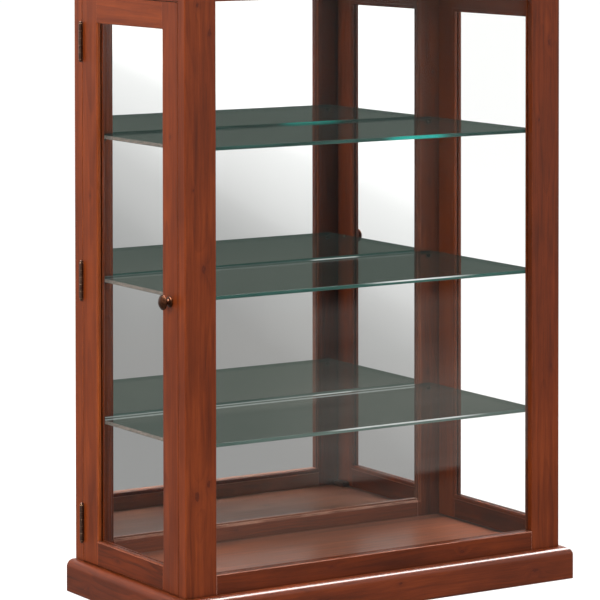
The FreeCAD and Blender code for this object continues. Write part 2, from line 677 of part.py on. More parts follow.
def knob_screw():
    """Slotted screw from inside the door."""
    solid = fuse(on_knob_axis(KNOB_SCREW_R, DOOR_X1, DOOR_X0 - 13),
                 on_knob_axis(4.0, DOOR_X1, DOOR_X1 + 2.4))
    return solid.cut(box(DOOR_X1 + 1.2, KNOB_Y - 0.5, KNOB_Z - 5,
                         DOOR_X1 + 3, KNOB_Y + 0.5, KNOB_Z + 5))


def knob_hole():
    return on_knob_axis(KNOB_SCREW_R + 0.1, DOOR_X1 + 1, DOOR_X0 - 1)


# ---------------------------------------------------------------- catch
CATCH_D = 18.0            # depth of a catch, across the case
CATCH_L = 40.0
CATCH_H = 11.0
CATCH_X = DOOR_X1 + 1.2   # the catch's face towards the door
CATCH_Y = DOOR_Y0 + 10.0
CATCH_SCREW = dict(head_r=2.8, shank_r=1.4)
CATCH_SCREW_Z = FLOOR_TOP + 9.3
CATCH_SCREW_PLACES = [(CATCH_X + 13.0, CATCH_Y + inset) for inset in (4.5, CATCH_L - 4.5)]

STRIKE_T = 1.0
STRIKE_SCREW = dict(head_r=2.2, shank_r=1.2)
STRIKE_SCREW_HEAD = (DOOR_X1 + STRIKE_T, CATCH_Y + CATCH_L / 2, FLOOR_TOP + 6.0)


def catch():
    """Block on the floor with two slots facing the door."""
    solid = board(CATCH_X, CATCH_Y, FLOOR_TOP, CATCH_X + CATCH_D, CATCH_Y + CATCH_L,
                  FLOOR_TOP + CATCH_H, {"y-z+": 2.0, "y+z+": 2.0})
    for slot_z in (FLOOR_TOP + 3.5, FLOOR_TOP + 6.5):
        solid = solid.cut(box(CATCH_X - 1, CATCH_Y + 8, slot_z,
                              CATCH_X + 2.0, CATCH_Y + CATCH_L - 8, slot_z + 1.5))
    for x, y in CATCH_SCREW_PLACES:
        solid = solid.cut(countersink(**CATCH_SCREW, length=13, origin=(x, y, CATCH_SCREW_Z),
                                      direction=(0, 0, -1)))
        solid = solid.cut(cylinder(2.9, (x, y, CATCH_SCREW_Z - 0.01), (x, y, FLOOR_TOP + 12)))
    return solid


def catch_screw(x, y):
    """Slotted screw down into the floor."""
    head_r, shank_r = CATCH_SCREW["head_r"], CATCH_SCREW["shank_r"]
    solid = revolve([(0.0, 0.0), (0.0, head_r), (head_r - shank_r, shank_r), (17.0, shank_r),
                     (20.0, 0.3), (20.0, 0.0)], (x, y, CATCH_SCREW_Z), (0, 0, -1))
    return solid.cut(box(x - 3.0, y - 0.3, CATCH_SCREW_Z - 0.6,
                         x + 3.0, y + 0.3, FLOOR_TOP + 10))


def strike():
    """Plate on the door's inside face, opposite the catch."""
    plate = board(DOOR_X1, CATCH_Y + 4, FLOOR_TOP + 2.0,
                  DOOR_X1 + STRIKE_T, CATCH_Y + CATCH_L - 4, FLOOR_TOP + 10.0,
                  {"x+y-": 0.4, "x+y+": 0.4})
    return plate.cut(countersink(**STRIKE_SCREW, length=3, origin=STRIKE_SCREW_HEAD,
                                 direction=(-1, 0, 0), seat_clear=0.0))


def strike_pilot():
    return pilot(STRIKE_SCREW["shank_r"] + SCREW_CLEAR, 12.0,
                 (DOOR_X1 + 0.1,) + STRIKE_SCREW_HEAD[1:], (-1, 0, 0))


# ---------------------------------------------------------------- assembly
parts = {}                # file name: list of shapes


def both_sides(shapes):
    return shapes + [mirror_x(shape) for shape in shapes]


def add_pair(left_name, shapes):
    parts[left_name] = shapes
    parts[left_name.replace("left", "right")] = [mirror_x(shape) for shape in shapes]


def add_case(fixed_hinge_tools):
    side_bottom = side_rail(RAIL_FOOT, PLINTH_H, 8)
    side_top = side_rail(OPEN_Z1, FRAME_TOP, 10, {"x-z-": 1.0, "x+z-": 1.0})
    add_pair("side_bottom_rail_left", [side_bottom])
    add_pair("side_top_rail_left", [side_top])

    bottom, top = front_rails()
    stile = front_stile([bottom, top, side_bottom, side_top],
                        left_pin_holes(FRONT_INNER_Y, 1))
    parts["front_bottom_rail"] = [bottom]
    parts["front_top_rail"] = [top]
    add_pair("front_stile_left", [stile])
    parts["front_glass"] = [front_glass()]
    parts["front_glass_beads"] = front_beads()

    places = backing_screw_places()
    in_left_stile = [(x, z) for x, z in places if x < -BACK_OPEN_X]
    in_rails = [(x, z) for x, z in places if abs(x) < BACK_OPEN_X]
    frame_tools = back_frame_tools()
    bottom, top = back_rails(frame_tools)
    stile = back_stile([bottom, top, side_bottom, side_top], frame_tools,
                       backing_pilots(in_left_stile) + fixed_hinge_tools,
                       left_pin_holes(BACK_INNER_Y, -1))
    low = [(x, z) for x, z in in_rails if z < OPEN_Z0]
    high = [(x, z) for x, z in in_rails if z >= OPEN_Z0]
    parts["back_bottom_rail"] = [cut_all(bottom, backing_pilots(low))]
    parts["back_top_rail"] = [cut_all(top, backing_pilots(high))]
    add_pair("back_stile_left", [stile])
    parts["mirror"] = [mirror()]
    parts["mirror_backing"] = [mirror_backing(places)]
    parts["backing_screws"] = [screw(**BACKING_SCREW, length=16.0, direction=(0, -1, 0),
                                     origin=(x, BACKING_REAR_Y, z)) for x, z in places]

    parts["floor_panel"] = [floor_panel(CATCH_SCREW_PLACES)]
    parts["top_panel"] = [box(-HALF_W, FRONT_Y, FRAME_TOP, HALF_W, BACK_Y, CASE_TOP)]
    parts["corner_blocks"] = corner_blocks()
    for name, profile, foot_z in (("plinth", PLINTH_PROFILE, 0.0),
                                  ("cornice", CORNICE_PROFILE, FRAME_TOP - CORNICE_DROP)):
        parts[name + "_front"] = [front_moulding(profile, foot_z)]
        add_pair(name + "_left", [left_moulding(profile, foot_z)])

    parts["shelf_pins"] = shelf_pins()
    for name, height in SHELF_HEIGHTS.items():
        parts[name] = [shelf(height)]
    parts["door_catches"] = both_sides([catch()])
    parts["catch_screws"] = both_sides([catch_screw(x, y) for x, y in CATCH_SCREW_PLACES])


def add_doors(door_leaves, door_screws, door_hinge_tools):
    wood = door_wood()
    wood["rear_stile"] = cut_all(wood["rear_stile"], door_hinge_tools)
    wood["front_stile"] = cut_all(wood["front_stile"], [knob_hole(), strike_pilot()])
    wood["bottom_rail"] = wood["bottom_rail"].cut(strike_pilot())
    for name, piece in wood.items():
        add_pair("left_door_" + name, [piece])
    add_pair("left_door_glass", [door_glass()])
    add_pair("left_door_beads", door_beads())
    add_pair("left_door_hinge_leaves", door_leaves)
    add_pair("left_door_hinge_screws", door_screws)
    add_pair("left_door_knob", [knob()])
    add_pair("left_door_knob_screw", [knob_screw()])
    add_pair("left_door_strike", [strike()])
    add_pair("left_door_strike_screw", [screw(**STRIKE_SCREW, length=10.0,
                                              origin=STRIKE_SCREW_HEAD, direction=(-1, 0, 0))])


fixed_leaves, fixed_screws, fixed_tools = hinge_half(1, own_knuckles=(0, 2, 4))
add_pair("hinge_leaves_fixed_left", fixed_leaves)
parts["hinge_screws_fixed"] = both_sides(fixed_screws)
parts["hinge_pins"] = both_sides([hinge_pin(foot_z) for foot_z in HINGE_FEET])
add_case(fixed_tools)
add_doors(*hinge_half(-1, own_knuckles=(1, 3)))

os.makedirs("parts", exist_ok=True)
for name, shapes in sorted(parts.items()):
    solids = [solid for shape in shapes for solid in shape.Solids]
    piece = solids[0] if len(solids) == 1 else Part.makeCompound(solids)
    piece.exportStep("parts/%s.step" % name)
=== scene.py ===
import bpy
import math
from mathutils import Vector, Matrix


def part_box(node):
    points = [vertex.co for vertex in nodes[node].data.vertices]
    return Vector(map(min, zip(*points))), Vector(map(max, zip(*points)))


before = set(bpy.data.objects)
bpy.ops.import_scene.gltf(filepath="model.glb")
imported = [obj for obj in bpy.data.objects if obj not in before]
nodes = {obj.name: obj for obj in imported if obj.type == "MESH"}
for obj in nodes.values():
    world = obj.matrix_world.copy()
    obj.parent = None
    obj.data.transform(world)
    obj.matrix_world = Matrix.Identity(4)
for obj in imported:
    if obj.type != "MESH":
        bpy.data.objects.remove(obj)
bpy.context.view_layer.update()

scene = bpy.context.scene


# ------------------------------------------------------------------ helpers
def srgb(r, g, b):
    def f(c):
        c = c / 255.0
        return c / 12.92 if c <= 0.04045 else ((c + 0.055) / 1.055) ** 2.4
    return (f(r), f(g), f(b), 1.0)


class Graph:
    """Small wrapper that makes shader graphs readable."""

    def __init__(self, name):
        self.mat = bpy.data.materials.new(name)
        self.mat.use_nodes = True
        self.t = self.mat.node_tree
        self.t.nodes.clear()

    def node(self, kind, **props):
        n = self.t.nodes.new(kind)
        for k, v in props.items():
            setattr(n, k, v)
        return n

    def put(self, sock, val):
        if val is None:
            return
        if hasattr(val, "is_output") or isinstance(val, bpy.types.NodeSocket):
            self.t.links.new(val, sock)
        else:
            sock.default_value = val

    def m(self, op, a, b=None, c=None, clamp=False):
        n = self.node("ShaderNodeMath", operation=op, use_clamp=clamp)
        self.put(n.inputs[0], a)
        self.put(n.inputs[1], b)
        self.put(n.inputs[2], c)
        return n.outputs[0]

    def vm(self, op, a, b=None, scale=None):
        n = self.node("ShaderNodeVectorMath", operation=op)
        self.put(n.inputs[0], a)
        self.put(n.inputs[1], b)
        if scale is not None:
            self.put(n.inputs["Scale"], scale)
        return n.outputs[1] if op in ("LENGTH", "DOT_PRODUCT", "DISTANCE") else n.outputs[0]

    def xyz(self, v):
        n = self.node("ShaderNodeSeparateXYZ")
        self.put(n.inputs[0], v)
        return n.outputs[0], n.outputs[1], n.outputs[2]

    def vec(self, x, y, z):
        n = self.node("ShaderNodeCombineXYZ")
        for i, v in enumerate((x, y, z)):
            self.put(n.inputs[i], v)
        return n.outputs[0]

    def noise(self, v, scale=1.0, detail=2.0, rough=0.5, dist=0.0, dims="3D", w=None):
        n = self.node("ShaderNodeTexNoise", noise_dimensions=dims)
        self.put(n.inputs["Vector"], v)
        if w is not None:
            self.put(n.inputs["W"], w)
        n.inputs["Scale"].default_value = scale
        n.inputs["Detail"].default_value = detail
        n.inputs["Roughness"].default_value = rough
        n.inputs["Distortion"].default_value = dist
        return n.outputs["Fac"]

    def ramp(self, fac, stops, interp="LINEAR"):
        n = self.node("ShaderNodeValToRGB")
        cr = n.color_ramp
        cr.interpolation = interp
        while len(cr.elements) < len(stops):
            cr.elements.new(0.5)
        for e, (p, col) in zip(cr.elements, stops):
            e.position = p
            e.color = col if len(col) == 4 else (*col, 1.0)
        self.put(n.inputs[0], fac)
        return n.outputs[0]

    def curve(self, fac, a, b, c=0.0, d=1.0, smooth=True, clamp=True):
        n = self.node("ShaderNodeMapRange",
                      interpolation_type="SMOOTHSTEP" if smooth else "LINEAR")
        n.clamp = clamp
        self.put(n.inputs["Value"], fac)
        for k, v in (("From Min", a), ("From Max", b), ("To Min", c), ("To Max", d)):
            self.put(n.inputs[k], v)
        return n.outputs["Result"]

    def mix(self, fac, a, b, blend="MIX"):
        n = self.node("ShaderNodeMix", data_type="RGBA", blend_type=blend)
        self.put(n.inputs[0], fac)
        self.put(n.inputs[6], a)
        self.put(n.inputs[7], b)
        return n.outputs[2]

    def bump(self, height, strength, dist, normal=None):
        n = self.node("ShaderNodeBump")
        n.inputs["Strength"].default_value = strength
        n.inputs["Distance"].default_value = dist
        self.put(n.inputs["Height"], height)
        self.put(n.inputs["Normal"], normal)
        return n.outputs[0]

    def mix_shader(self, fac, a, b):
        n = self.node("ShaderNodeMixShader")
        self.put(n.inputs[0], fac)
        self.t.links.new(a, n.inputs[1])
        self.t.links.new(b, n.inputs[2])
        return n.outputs[0]

    def schlick(self, r0, normal=None):
        """Fresnel reflectance of a thin flat pane, the same from both sides."""
        geo = self.node("ShaderNodeNewGeometry")
        c = self.m("ABSOLUTE", self.vm("DOT_PRODUCT", geo.outputs["Incoming"], geo.outputs["Normal"]))
        k = self.m("POWER", self.m("SUBTRACT", 1.0, c, clamp=True), 5.0)
        return self.m("ADD", self.m("MULTIPLY", k, 1.0 - r0), r0, clamp=True)

    def coords(self):
        return self.node("ShaderNodeTexCoord").outputs["Object"]

    def out(self, shader):
        n = self.node("ShaderNodeOutputMaterial")
        self.t.links.new(shader, n.inputs["Surface"])
        if hasattr(self.mat, "cycles"):  # faint glows are not lamps
            self.mat.cycles.emission_sampling = "NONE"
        return self.mat


def setmat(o, mat):
    o.data.materials.clear()
    o.data.materials.append(mat)


# ------------------------------------------------------------------ wood
WOOD_DARK = srgb(58, 21, 5)
WOOD_MID = srgb(84, 32, 7)
WOOD_LIGHT = srgb(140, 66, 24)


def wood(name, axis, centre, seed, face="y", tone=0.0, knots=(), strips=0.0,
         pith=0.045, raw=False, gloss=1.0, contrast=1.0, streak=1.0, painted_light_lift=1.0, coat_r=0.13, knot=1.0,
         rub_and_highlight=1.0, painted_reflection_grey=None, painted_light_in_mirror=None, worn=(158, 82, 48), worn_and_highlight_r=0.0012, edge_coat=False,
         painted_shade_k=0.42, painted_light_fade=None, reveal=None):
    """Stained pine. axis is the grain direction; face is the axis the wide
    face looks along; centre is the board's middle; knots is a list of
    (along grain, across the face, radius) in metres from the row frame's
    origin; strips is the width of edge-glued strips, or 0. pale greys the colour
    towards a given grey by an amount, a painted reflection; mirrored scales and
    shifts it as the mirror shows it, painted light and shade; worn is the colour of
    the rubbed arrises, partly wear and partly painted highlight; reveal scales the
    colour of the faces that look to the front, painted light."""
    g = Graph(name)
    p = g.coords()
    c = dict(zip("xyz", g.xyz(p)))
    cc = dict(zip("xyz", centre))
    across = [a for a in "xyz" if a not in (axis, face)][0]
    u, v, w = c[axis], c[across], c[face]

    shift = 0.0
    tone_s = None
    if strips:
        idx = g.m("FLOOR", g.m("DIVIDE", g.m("ADD", v, 7.3), strips))
        wn = g.node("ShaderNodeTexWhiteNoise", noise_dimensions="1D")
        g.put(wn.inputs["W"], g.m("ADD", idx, seed * 3.17))
        rnd = wn.outputs["Value"]
        tone_s = rnd
        edge = g.m("ABSOLUTE", g.m("SUBTRACT", g.m("FRACT", g.m("DIVIDE", g.m("ADD", v, 7.3), strips)), 0.5))
        glue = g.curve(edge, 0.493, 0.4995)
        shift = g.m("MULTIPLY", rnd, 9.0)
    us = g.m("ADD", u, shift) if strips else u
    q = g.vec(us, v, w)
    q = g.vm("ADD", q, (seed * 1.37, seed * 0.73, seed * 2.11))

    # knots bend the grain round them
    knot_mask = None
    knot_core = None
    bend = None
    for (ku, kv, kr) in knots:
        du = g.m("MULTIPLY", g.m("SUBTRACT", u, ku), 0.55)
        dv = g.m("SUBTRACT", v, kv)
        d = g.m("SQRT", g.m("ADD", g.m("MULTIPLY", du, du), g.m("MULTIPLY", dv, dv)))
        wob = g.m("MULTIPLY", g.m("SUBTRACT", g.noise(q, 160.0, 2.0), 0.5), kr * 0.9)
        d = g.m("ADD", d, wob)
        core = g.curve(d, kr * 0.95, kr * 0.55)
        halo = g.curve(d, kr * 3.4, kr * 0.6)
        b = g.m("MULTIPLY", g.m("EXPONENT", g.m("MULTIPLY", g.m("MULTIPLY", d, d), -1.0 / (kr * kr * 10.0))),
                kr * 2.2 * knot)
        bend = b if bend is None else g.m("ADD", bend, b)
        knot_core = core if knot_core is None else g.m("MAXIMUM", knot_core, core)
        knot_mask = halo if knot_mask is None else g.m("MAXIMUM", knot_mask, halo)

    # growth rings about a wandering pith behind the face
    mod = math.sin(seed * 12.9898) * 43758.5453
    r1 = mod - math.floor(mod)
    mod = math.sin(seed * 78.233) * 12345.678
    r2 = mod - math.floor(mod)
    v0 = cc[across] + (r1 - 0.5) * 0.05
    w0 = cc[face] + (pith if r2 > 0.5 else -pith)
    slow = g.noise(g.vm("MULTIPLY", q, g_vec(axis, across, face, 1.6, 5.0, 5.0, (axis, across, face))), 1.0, 2.0, 0.5)
    slow2 = g.noise(g.vm("MULTIPLY", q, (2.3, 9.0, 9.0)), 1.0, 1.0, 0.5)
    vv = g.m("ADD", g.m("SUBTRACT", v, v0), g.m("MULTIPLY", g.m("SUBTRACT", slow, 0.5), 0.060))
    ww = g.m("ADD", g.m("SUBTRACT", w, w0), g.m("MULTIPLY", g.m("SUBTRACT", slow2, 0.5), 0.030))
    if strips:
        vv = g.m("ADD", vv, g.m("MULTIPLY", g.m("SUBTRACT", rnd, 0.5), 0.12))
    rho = g.m("SQRT", g.m("ADD", g.m("MULTIPLY", vv, vv), g.m("MULTIPLY", ww, ww)))
    rho = g.m("ADD", rho, g.m("MULTIPLY", us, 0.010 * (1 if r1 > 0.5 else -1)))
    if bend is not None:
        rho = g.m("ADD", rho, bend)
    jit = g.noise(g.vec(0.0, g.m("MULTIPLY", rho, 60.0), 0.0), 1.0, 2.0, 0.6)
    phase = g.m("ADD", g.m("DIVIDE", rho, 0.0058), g.m("MULTIPLY", jit, 2.2))
    saw = g.m("FRACT", phase)
    ring = g.ramp(saw, [(0.0, (0.10,) * 3), (0.45, (0.22,) * 3), (0.80, (0.75,) * 3),
                        (0.93, (1.0,) * 3), (1.0, (0.10,) * 3)])
    ring_amt = g.noise(g.vm("MULTIPLY", q, (3.0, 14.0, 14.0)), 1.0, 2.0, 0.5)
    ring_amt = g.curve(ring_amt, 0.30, 0.70, 0.20, 1.0)

    # streaks and fibres along the grain
    st = g.noise(g.vec(g.m("MULTIPLY", us, 2.6), g.m("MULTIPLY", v, 85.0),
                       g.m("ADD", g.m("MULTIPLY", w, 85.0), seed)), 1.0, 4.0, 0.62, 0.15)
    fib = g.noise(g.vec(g.m("MULTIPLY", us, 16.0), g.m("MULTIPLY", v, 950.0),
                        g.m("ADD", g.m("MULTIPLY", w, 950.0), seed)), 1.0, 2.0, 0.6)
    pores = g.noise(g.vec(g.m("MULTIPLY", us, 70.0), g.m("MULTIPLY", v, 1500.0),
                          g.m("ADD", g.m("MULTIPLY", w, 1500.0), seed * 2)), 1.0, 1.0, 0.5)
    pores = g.curve(pores, 0.66, 0.76)
    blot = g.noise(g.vm("MULTIPLY", q, g_vec(axis, across, face, 5.0, 22.0, 22.0, (axis, across, face))), 1.0, 3.0, 0.55)

    f = g.m("MULTIPLY", g.m("SUBTRACT", ring, 0.45), g.m("MULTIPLY", ring_amt, -0.20 * contrast))
    f = g.m("ADD", f, g.m("MULTIPLY", g.m("SUBTRACT", st, 0.5), 0.62 * streak))
    f = g.m("ADD", f, g.m("MULTIPLY", g.m("SUBTRACT", fib, 0.5), 0.34))
    f = g.m("ADD", f, g.m("MULTIPLY", g.m("SUBTRACT", blot, 0.5), 0.50))
    f = g.m("ADD", f, 0.52 + tone)
    if painted_light_fade:  # painted light: lighter towards one end of the board and darker towards the other
        f = g.m("ADD", f, g.curve(u, *painted_light_fade))
    if tone_s is not None:
        f = g.m("ADD", f, g.m("MULTIPLY", g.m("SUBTRACT", tone_s, 0.5), 0.28))
    f = g.m("MAXIMUM", g.m("MINIMUM", f, 1.0), 0.0)
    if raw:
        col = g.ramp(f, [(0.0, srgb(146, 108, 66)), (0.5, srgb(196, 160, 112)), (1.0, srgb(222, 192, 148))])
    else:
        col = g.ramp(f, [(0.0, srgb(36, 12, 5)), (0.28, WOOD_DARK), (0.52, WOOD_MID),
                         (0.80, srgb(110, 47, 14)), (1.0, WOOD_LIGHT)])
    col = g.mix(g.m("MULTIPLY", pores, 0.45), col, srgb(34, 11, 5) if not raw else srgb(120, 84, 50))
    if knot_mask is not None:
        col = g.mix(g.m("MULTIPLY", knot_mask, 0.30), col, srgb(62, 21, 8))
        kc = g.noise(q, 420.0, 3.0, 0.6)
        kcol = g.ramp(kc, [(0.3, srgb(28, 9, 4)), (0.7, srgb(80, 30, 12))])
        col = g.mix(g.m("MULTIPLY", knot_core, 0.85), col, kcol)
    if strips:
        col = g.mix(g.m("MULTIPLY", glue, 0.55), col, srgb(32, 11, 5))

    # painted shade darkens the corners and recesses that an occlusion test finds; the arrises are lighter, partly
    # rubbed wear and partly painted highlight
    if not raw:
        ao = g.node("ShaderNodeAmbientOcclusion", samples=2)
        ao.inputs["Distance"].default_value = 0.007
        ao_painted_shade = g.curve(ao.outputs["AO"], 0.25, 0.90)
        col = g.mix(g.m("MULTIPLY", g.m("SUBTRACT", 1.0, ao_painted_shade), painted_shade_k), col, srgb(24, 8, 4))
        bev = g.node("ShaderNodeBevel", samples=2)
        bev.inputs["Radius"].default_value = worn_and_highlight_r
        geo = g.node("ShaderNodeNewGeometry")
        dot = g.vm("DOT_PRODUCT", bev.outputs[0], geo.outputs["Normal"])
        wear = g.curve(dot, 0.992, 0.90)
        wn2 = g.noise(g.vm("MULTIPLY", q, (9.0, 9.0, 9.0)), 1.0, 3.0, 0.6)
        wear = g.m("MULTIPLY", wear, g.m("MULTIPLY", g.curve(wn2, 0.40, 0.62, 0.20, 0.80), rub_and_highlight), clamp=True)
        # painted light: the colour is brightened, a little bluer, for parts that sit in shade
        if painted_light_lift != 1.0:
            col = g.vm("MULTIPLY", col, (painted_light_lift, painted_light_lift * 1.04, painted_light_lift * 1.25))
        # painted reflection: the colour is greyed towards a given grey by an amount
        if painted_reflection_grey:
            col = g.mix(painted_reflection_grey[0], col, (*painted_reflection_grey[1], 1.0))
        # painted light: faces that look to the front are brightened by a colour factor
        if reveal:
            front = g.m("LESS_THAN", g.xyz(geo.outputs["Normal"])[1], -0.7)
            col = g.mix(front, col, g.vm("MULTIPLY", col, reveal))
        # painted light and shade that only reflected rays see: the colour is scaled and shifted as the mirror shows it
        if painted_light_in_mirror:
            lp_ = g.node("ShaderNodeLightPath")
            painted_mirror_col = g.vm("ADD", g.vm("MULTIPLY", col, painted_light_in_mirror[0]), painted_light_in_mirror[1])
            col = g.mix(lp_.outputs["Is Glossy Ray"], col, painted_mirror_col)
        # the arrises take the worn colour: partly rubbed wear, partly painted highlight
        col = g.mix(wear, col, srgb(*worn))

    sm = g.noise(g.vm("MULTIPLY", q, (6.0, 6.0, 6.0)), 1.0, 4.0, 0.6)
    rough = g.m("ADD", g.m("MULTIPLY", sm, 0.18), 0.34 if not raw else 0.62)
    rough = g.m("ADD", rough, g.m("MULTIPLY", g.m("SUBTRACT", fib, 0.5), 0.10))
    h = g.m("SUBTRACT", g.m("MULTIPLY", fib, 0.6), g.m("MULTIPLY", pores, 0.8))
    if not raw:
        nrm = g.bump(h, 0.22, 0.00025, bev.outputs[0])
        orange = g.noise(q, 190.0, 2.0, 0.5)
        coat_n = g.bump(orange, 0.03 if edge_coat else 0.10, 0.0004, bev.outputs[0])
    else:
        nrm = g.bump(h, 0.5, 0.0004)
        coat_n = None
    b = g.node("ShaderNodeBsdfPrincipled")
    g.put(b.inputs["Base Color"], col)
    g.put(b.inputs["Roughness"], rough)
    g.put(b.inputs["Normal"], nrm)
    b.inputs["IOR"].default_value = 1.46
    b.inputs["Specular IOR Level"].default_value = 0.12
    if not raw:
        if edge_coat:  # the rounded edge is rubbed to a full polish
            nz = g.xyz(geo.outputs["Normal"])[2]
            k = g.m("MULTIPLY", g.curve(nz, 0.12, 0.45), g.curve(nz, 0.995, 0.96))
            g.put(b.inputs["Coat Weight"], g.m("ADD", g.m("MULTIPLY", k, 1.0 - 0.15 * gloss), 0.15 * gloss, clamp=True))
        else:
            b.inputs["Coat Weight"].default_value = min(1.0, 0.15 * gloss)
        if painted_light_in_mirror:  # and its sheen is weaker there
            g.put(b.inputs["Coat Weight"], g.m("SUBTRACT", 0.15 * gloss, g.m("MULTIPLY", lp_.outputs["Is Glossy Ray"],
                                               0.15 * gloss * (1.0 - painted_light_in_mirror[2]))))
        b.inputs["Coat IOR"].default_value = 1.45
        g.put(b.inputs["Coat Roughness"], g.m("ADD", g.m("MULTIPLY", sm, 0.12), coat_r))
        g.put(b.inputs["Coat Normal"], coat_n)
    return g.out(b.outputs[0])


def g_vec(axis, across, face, a, b, c, order):
    """Scales for u, v, w packed for the (u, v, w) vector."""
    return (a, b, c)


def centre_of(n):
    lo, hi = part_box(n)
    return (lo + hi) / 2


def mm(*v):
    return tuple(x / 1000.0 for x in v)


wood_jobs = {
    # node: axis, face, tone, knots, extra
    "front_stile_left": ("z", "y", 0.005, [mm(1283, -445, 4.0), mm(1225, -416, 5.5), mm(742, -430, 6.0),
                                          mm(905, -455, 2.5), mm(300, -420, 5.0), mm(277, -447, 6.5)],
                         # painted light: lighter at the foot, darker at the top
                         {"contrast": 0.55, "streak": 0.95, "knot": 0.45, "painted_light_fade": (0.25, 0.80, 0.045, -0.04),
                          "painted_shade_k": 0.8}),
    "front_stile_right": ("z", "y", -0.04, [mm(470, 452, 3.5), mm(1010, 420, 3.0), mm(1180, 447, 4.5)],
                          # painted light: lighter at the foot, darker at the top
                          {"contrast": 0.55, "streak": 0.95, "knot": 0.45, "painted_light_fade": (0.25, 0.70, 0.085, -0.04),
                           "painted_shade_k": 0.6}),
    "front_bottom_rail": ("x", "y", -0.12, [mm(215, 88, 3.5), mm(-120, 96, 2.5)],
                          # a strong painted highlight on the arrises, partly wear; in the mirror its shaded back face
                          # is brightened with painted light
                          {"contrast": 0.5, "streak": 0.55, "rub_and_highlight": 3.0, "worn": (206, 150, 128), "worn_and_highlight_r": 0.0016,
                           "painted_light_in_mirror": ((2.6, 3.0, 3.2), (0.032, 0.043, 0.035), 1.0)}),
    "front_top_rail": ("x", "y", 0.0, [mm(-180, 1322, 4.0)], {}),
    "back_stile_left": ("z", "y", 0.10, [mm(620, -430, 5.0), mm(1120, -441, 4.0)], {"rub_and_highlight": 1.8, "painted_shade_k": 0.7}),
    "back_stile_right": ("z", "y", 0.02, [mm(400, 425, 5.0), mm(590, 447, 6.0), mm(840, 430, 4.5),
                                          mm(1090, 440, 4.0)],
                         # arrises lighter, partly wear and partly painted highlight; a painted reflection grey over the
                         # colour
                         {"rub_and_highlight": 3.0, "streak": 1.3, "worn": (184, 120, 96), "worn_and_highlight_r": 0.0016,
                          "painted_reflection_grey": (0.12, (0.085, 0.090, 0.080))}),
    # painted light brightens this shaded rail; its arrises carry a strong painted highlight, partly wear; a painted
    # reflection grey lies over it
    "back_bottom_rail": ("x", "y", 0.0, [mm(-90, 92, 4.0)], {"painted_light_lift": 1.5, "rub_and_highlight": 5.0, "gloss": 2.0, "worn": (226, 172, 150), "worn_and_highlight_r": 0.0024,
                          "painted_reflection_grey": (0.10, (0.15, 0.17, 0.15))}),
    "back_top_rail": ("x", "y", 0.0, [mm(210, 1318, 4.0)], {}),
    "side_bottom_rail_left": ("y", "x", 0.0, [], {}),
    # a painted reflection grey over the colour; arrises lighter, partly wear and partly painted highlight
    "side_bottom_rail_right": ("y", "x", -0.06, [], {"painted_reflection_grey": (0.22, (0.075, 0.080, 0.070)), "rub_and_highlight": 2.0}),
    "side_top_rail_left": ("y", "x", -0.02, [mm(60, 1330, 3.5)], {}),
    "side_top_rail_right": ("y", "x", 0.02, [mm(-80, 1318, 3.5)], {}),
    # painted light brightens this shaded floor; a painted reflection grey lies over it; in the mirror it is darkened
    # with painted shade
    "floor_panel": ("x", "z", 0.10, [mm(170, -60, 7.0), mm(-250, 70, 6.0)], {"strips": 0.101, "painted_light_lift": 2.3, "gloss": 1.3, "painted_reflection_grey": (0.24, (0.18, 0.195, 0.17)),
                     "painted_light_in_mirror": ((0.46, 0.57, 0.62), (0.0, 0.0, 0.0), 0.25)}),
    "top_panel": ("x", "z", 0.02, [mm(-210, 40, 8.0), mm(260, -90, 6.0), mm(90, 170, 5.0)], {"strips": 0.094}),
    "plinth_front": ("x", "y", -0.04, [mm(395, 30, 5.0), mm(-140, 26, 4.5), mm(40, 44, 3.0)],
                     {"gloss": 2.6, "coat_r": 0.015, "contrast": 0.7, "streak": 0.7, "edge_coat": True}),
    "plinth_left": ("y", "x", -0.07, [mm(-60, 33, 4.0), mm(150, 24, 3.5)],
                    {"gloss": 2.0, "coat_r": 0.05, "contrast": 0.7, "streak": 0.7}),
    "plinth_right": ("y", "x", -0.02, [mm(90, 35, 4.5)],
                     {"gloss": 2.0, "coat_r": 0.05, "contrast": 0.7, "streak": 0.7}),
    "cornice_front": ("x", "y", 0.0, [], {"gloss": 2.0, "coat_r": 0.06, "edge_coat": True}),
    "cornice_left": ("y", "x", 0.0, [], {"gloss": 2.4, "coat_r": 0.08}),
    "cornice_right": ("y", "x", 0.02, [], {"gloss": 2.4, "coat_r": 0.08}),
}
for side, sx in (("left", -1), ("right", 1)):
    wood_jobs[side + "_door_front_stile"] = ("z", "x", 0.03, [mm(1010, -164, 2.5)] if sx < 0 else [mm(480, -160, 4.0)],
                                               {"streak": 0.75, "contrast": 0.7, "painted_shade_k": 0.75})
    wood_jobs[side + "_door_rear_stile"] = ("z", "x", 0.09, [mm(860, 178, 3.0)],
                                              # less painted shade in the corners; on the left door, painted light on
                                              # the faces that look to the front
                                              {"painted_shade_k": 0.2, "streak": 0.75, "contrast": 0.7,
                                               "reveal": (1.5, 1.8, 2.1) if sx < 0 else None})
    wood_jobs[side + "_door_top_rail"] = ("y", "x", 0.10, [], {"streak": 0.75, "contrast": 0.7})
    # arrises lighter, partly wear and partly painted highlight
    wood_jobs[side + "_door_bottom_rail"] = ("y", "x", -0.11, [mm(60, 96, 2.5)], {"rub_and_highlight": 2.6, "worn": (190, 118, 90)})

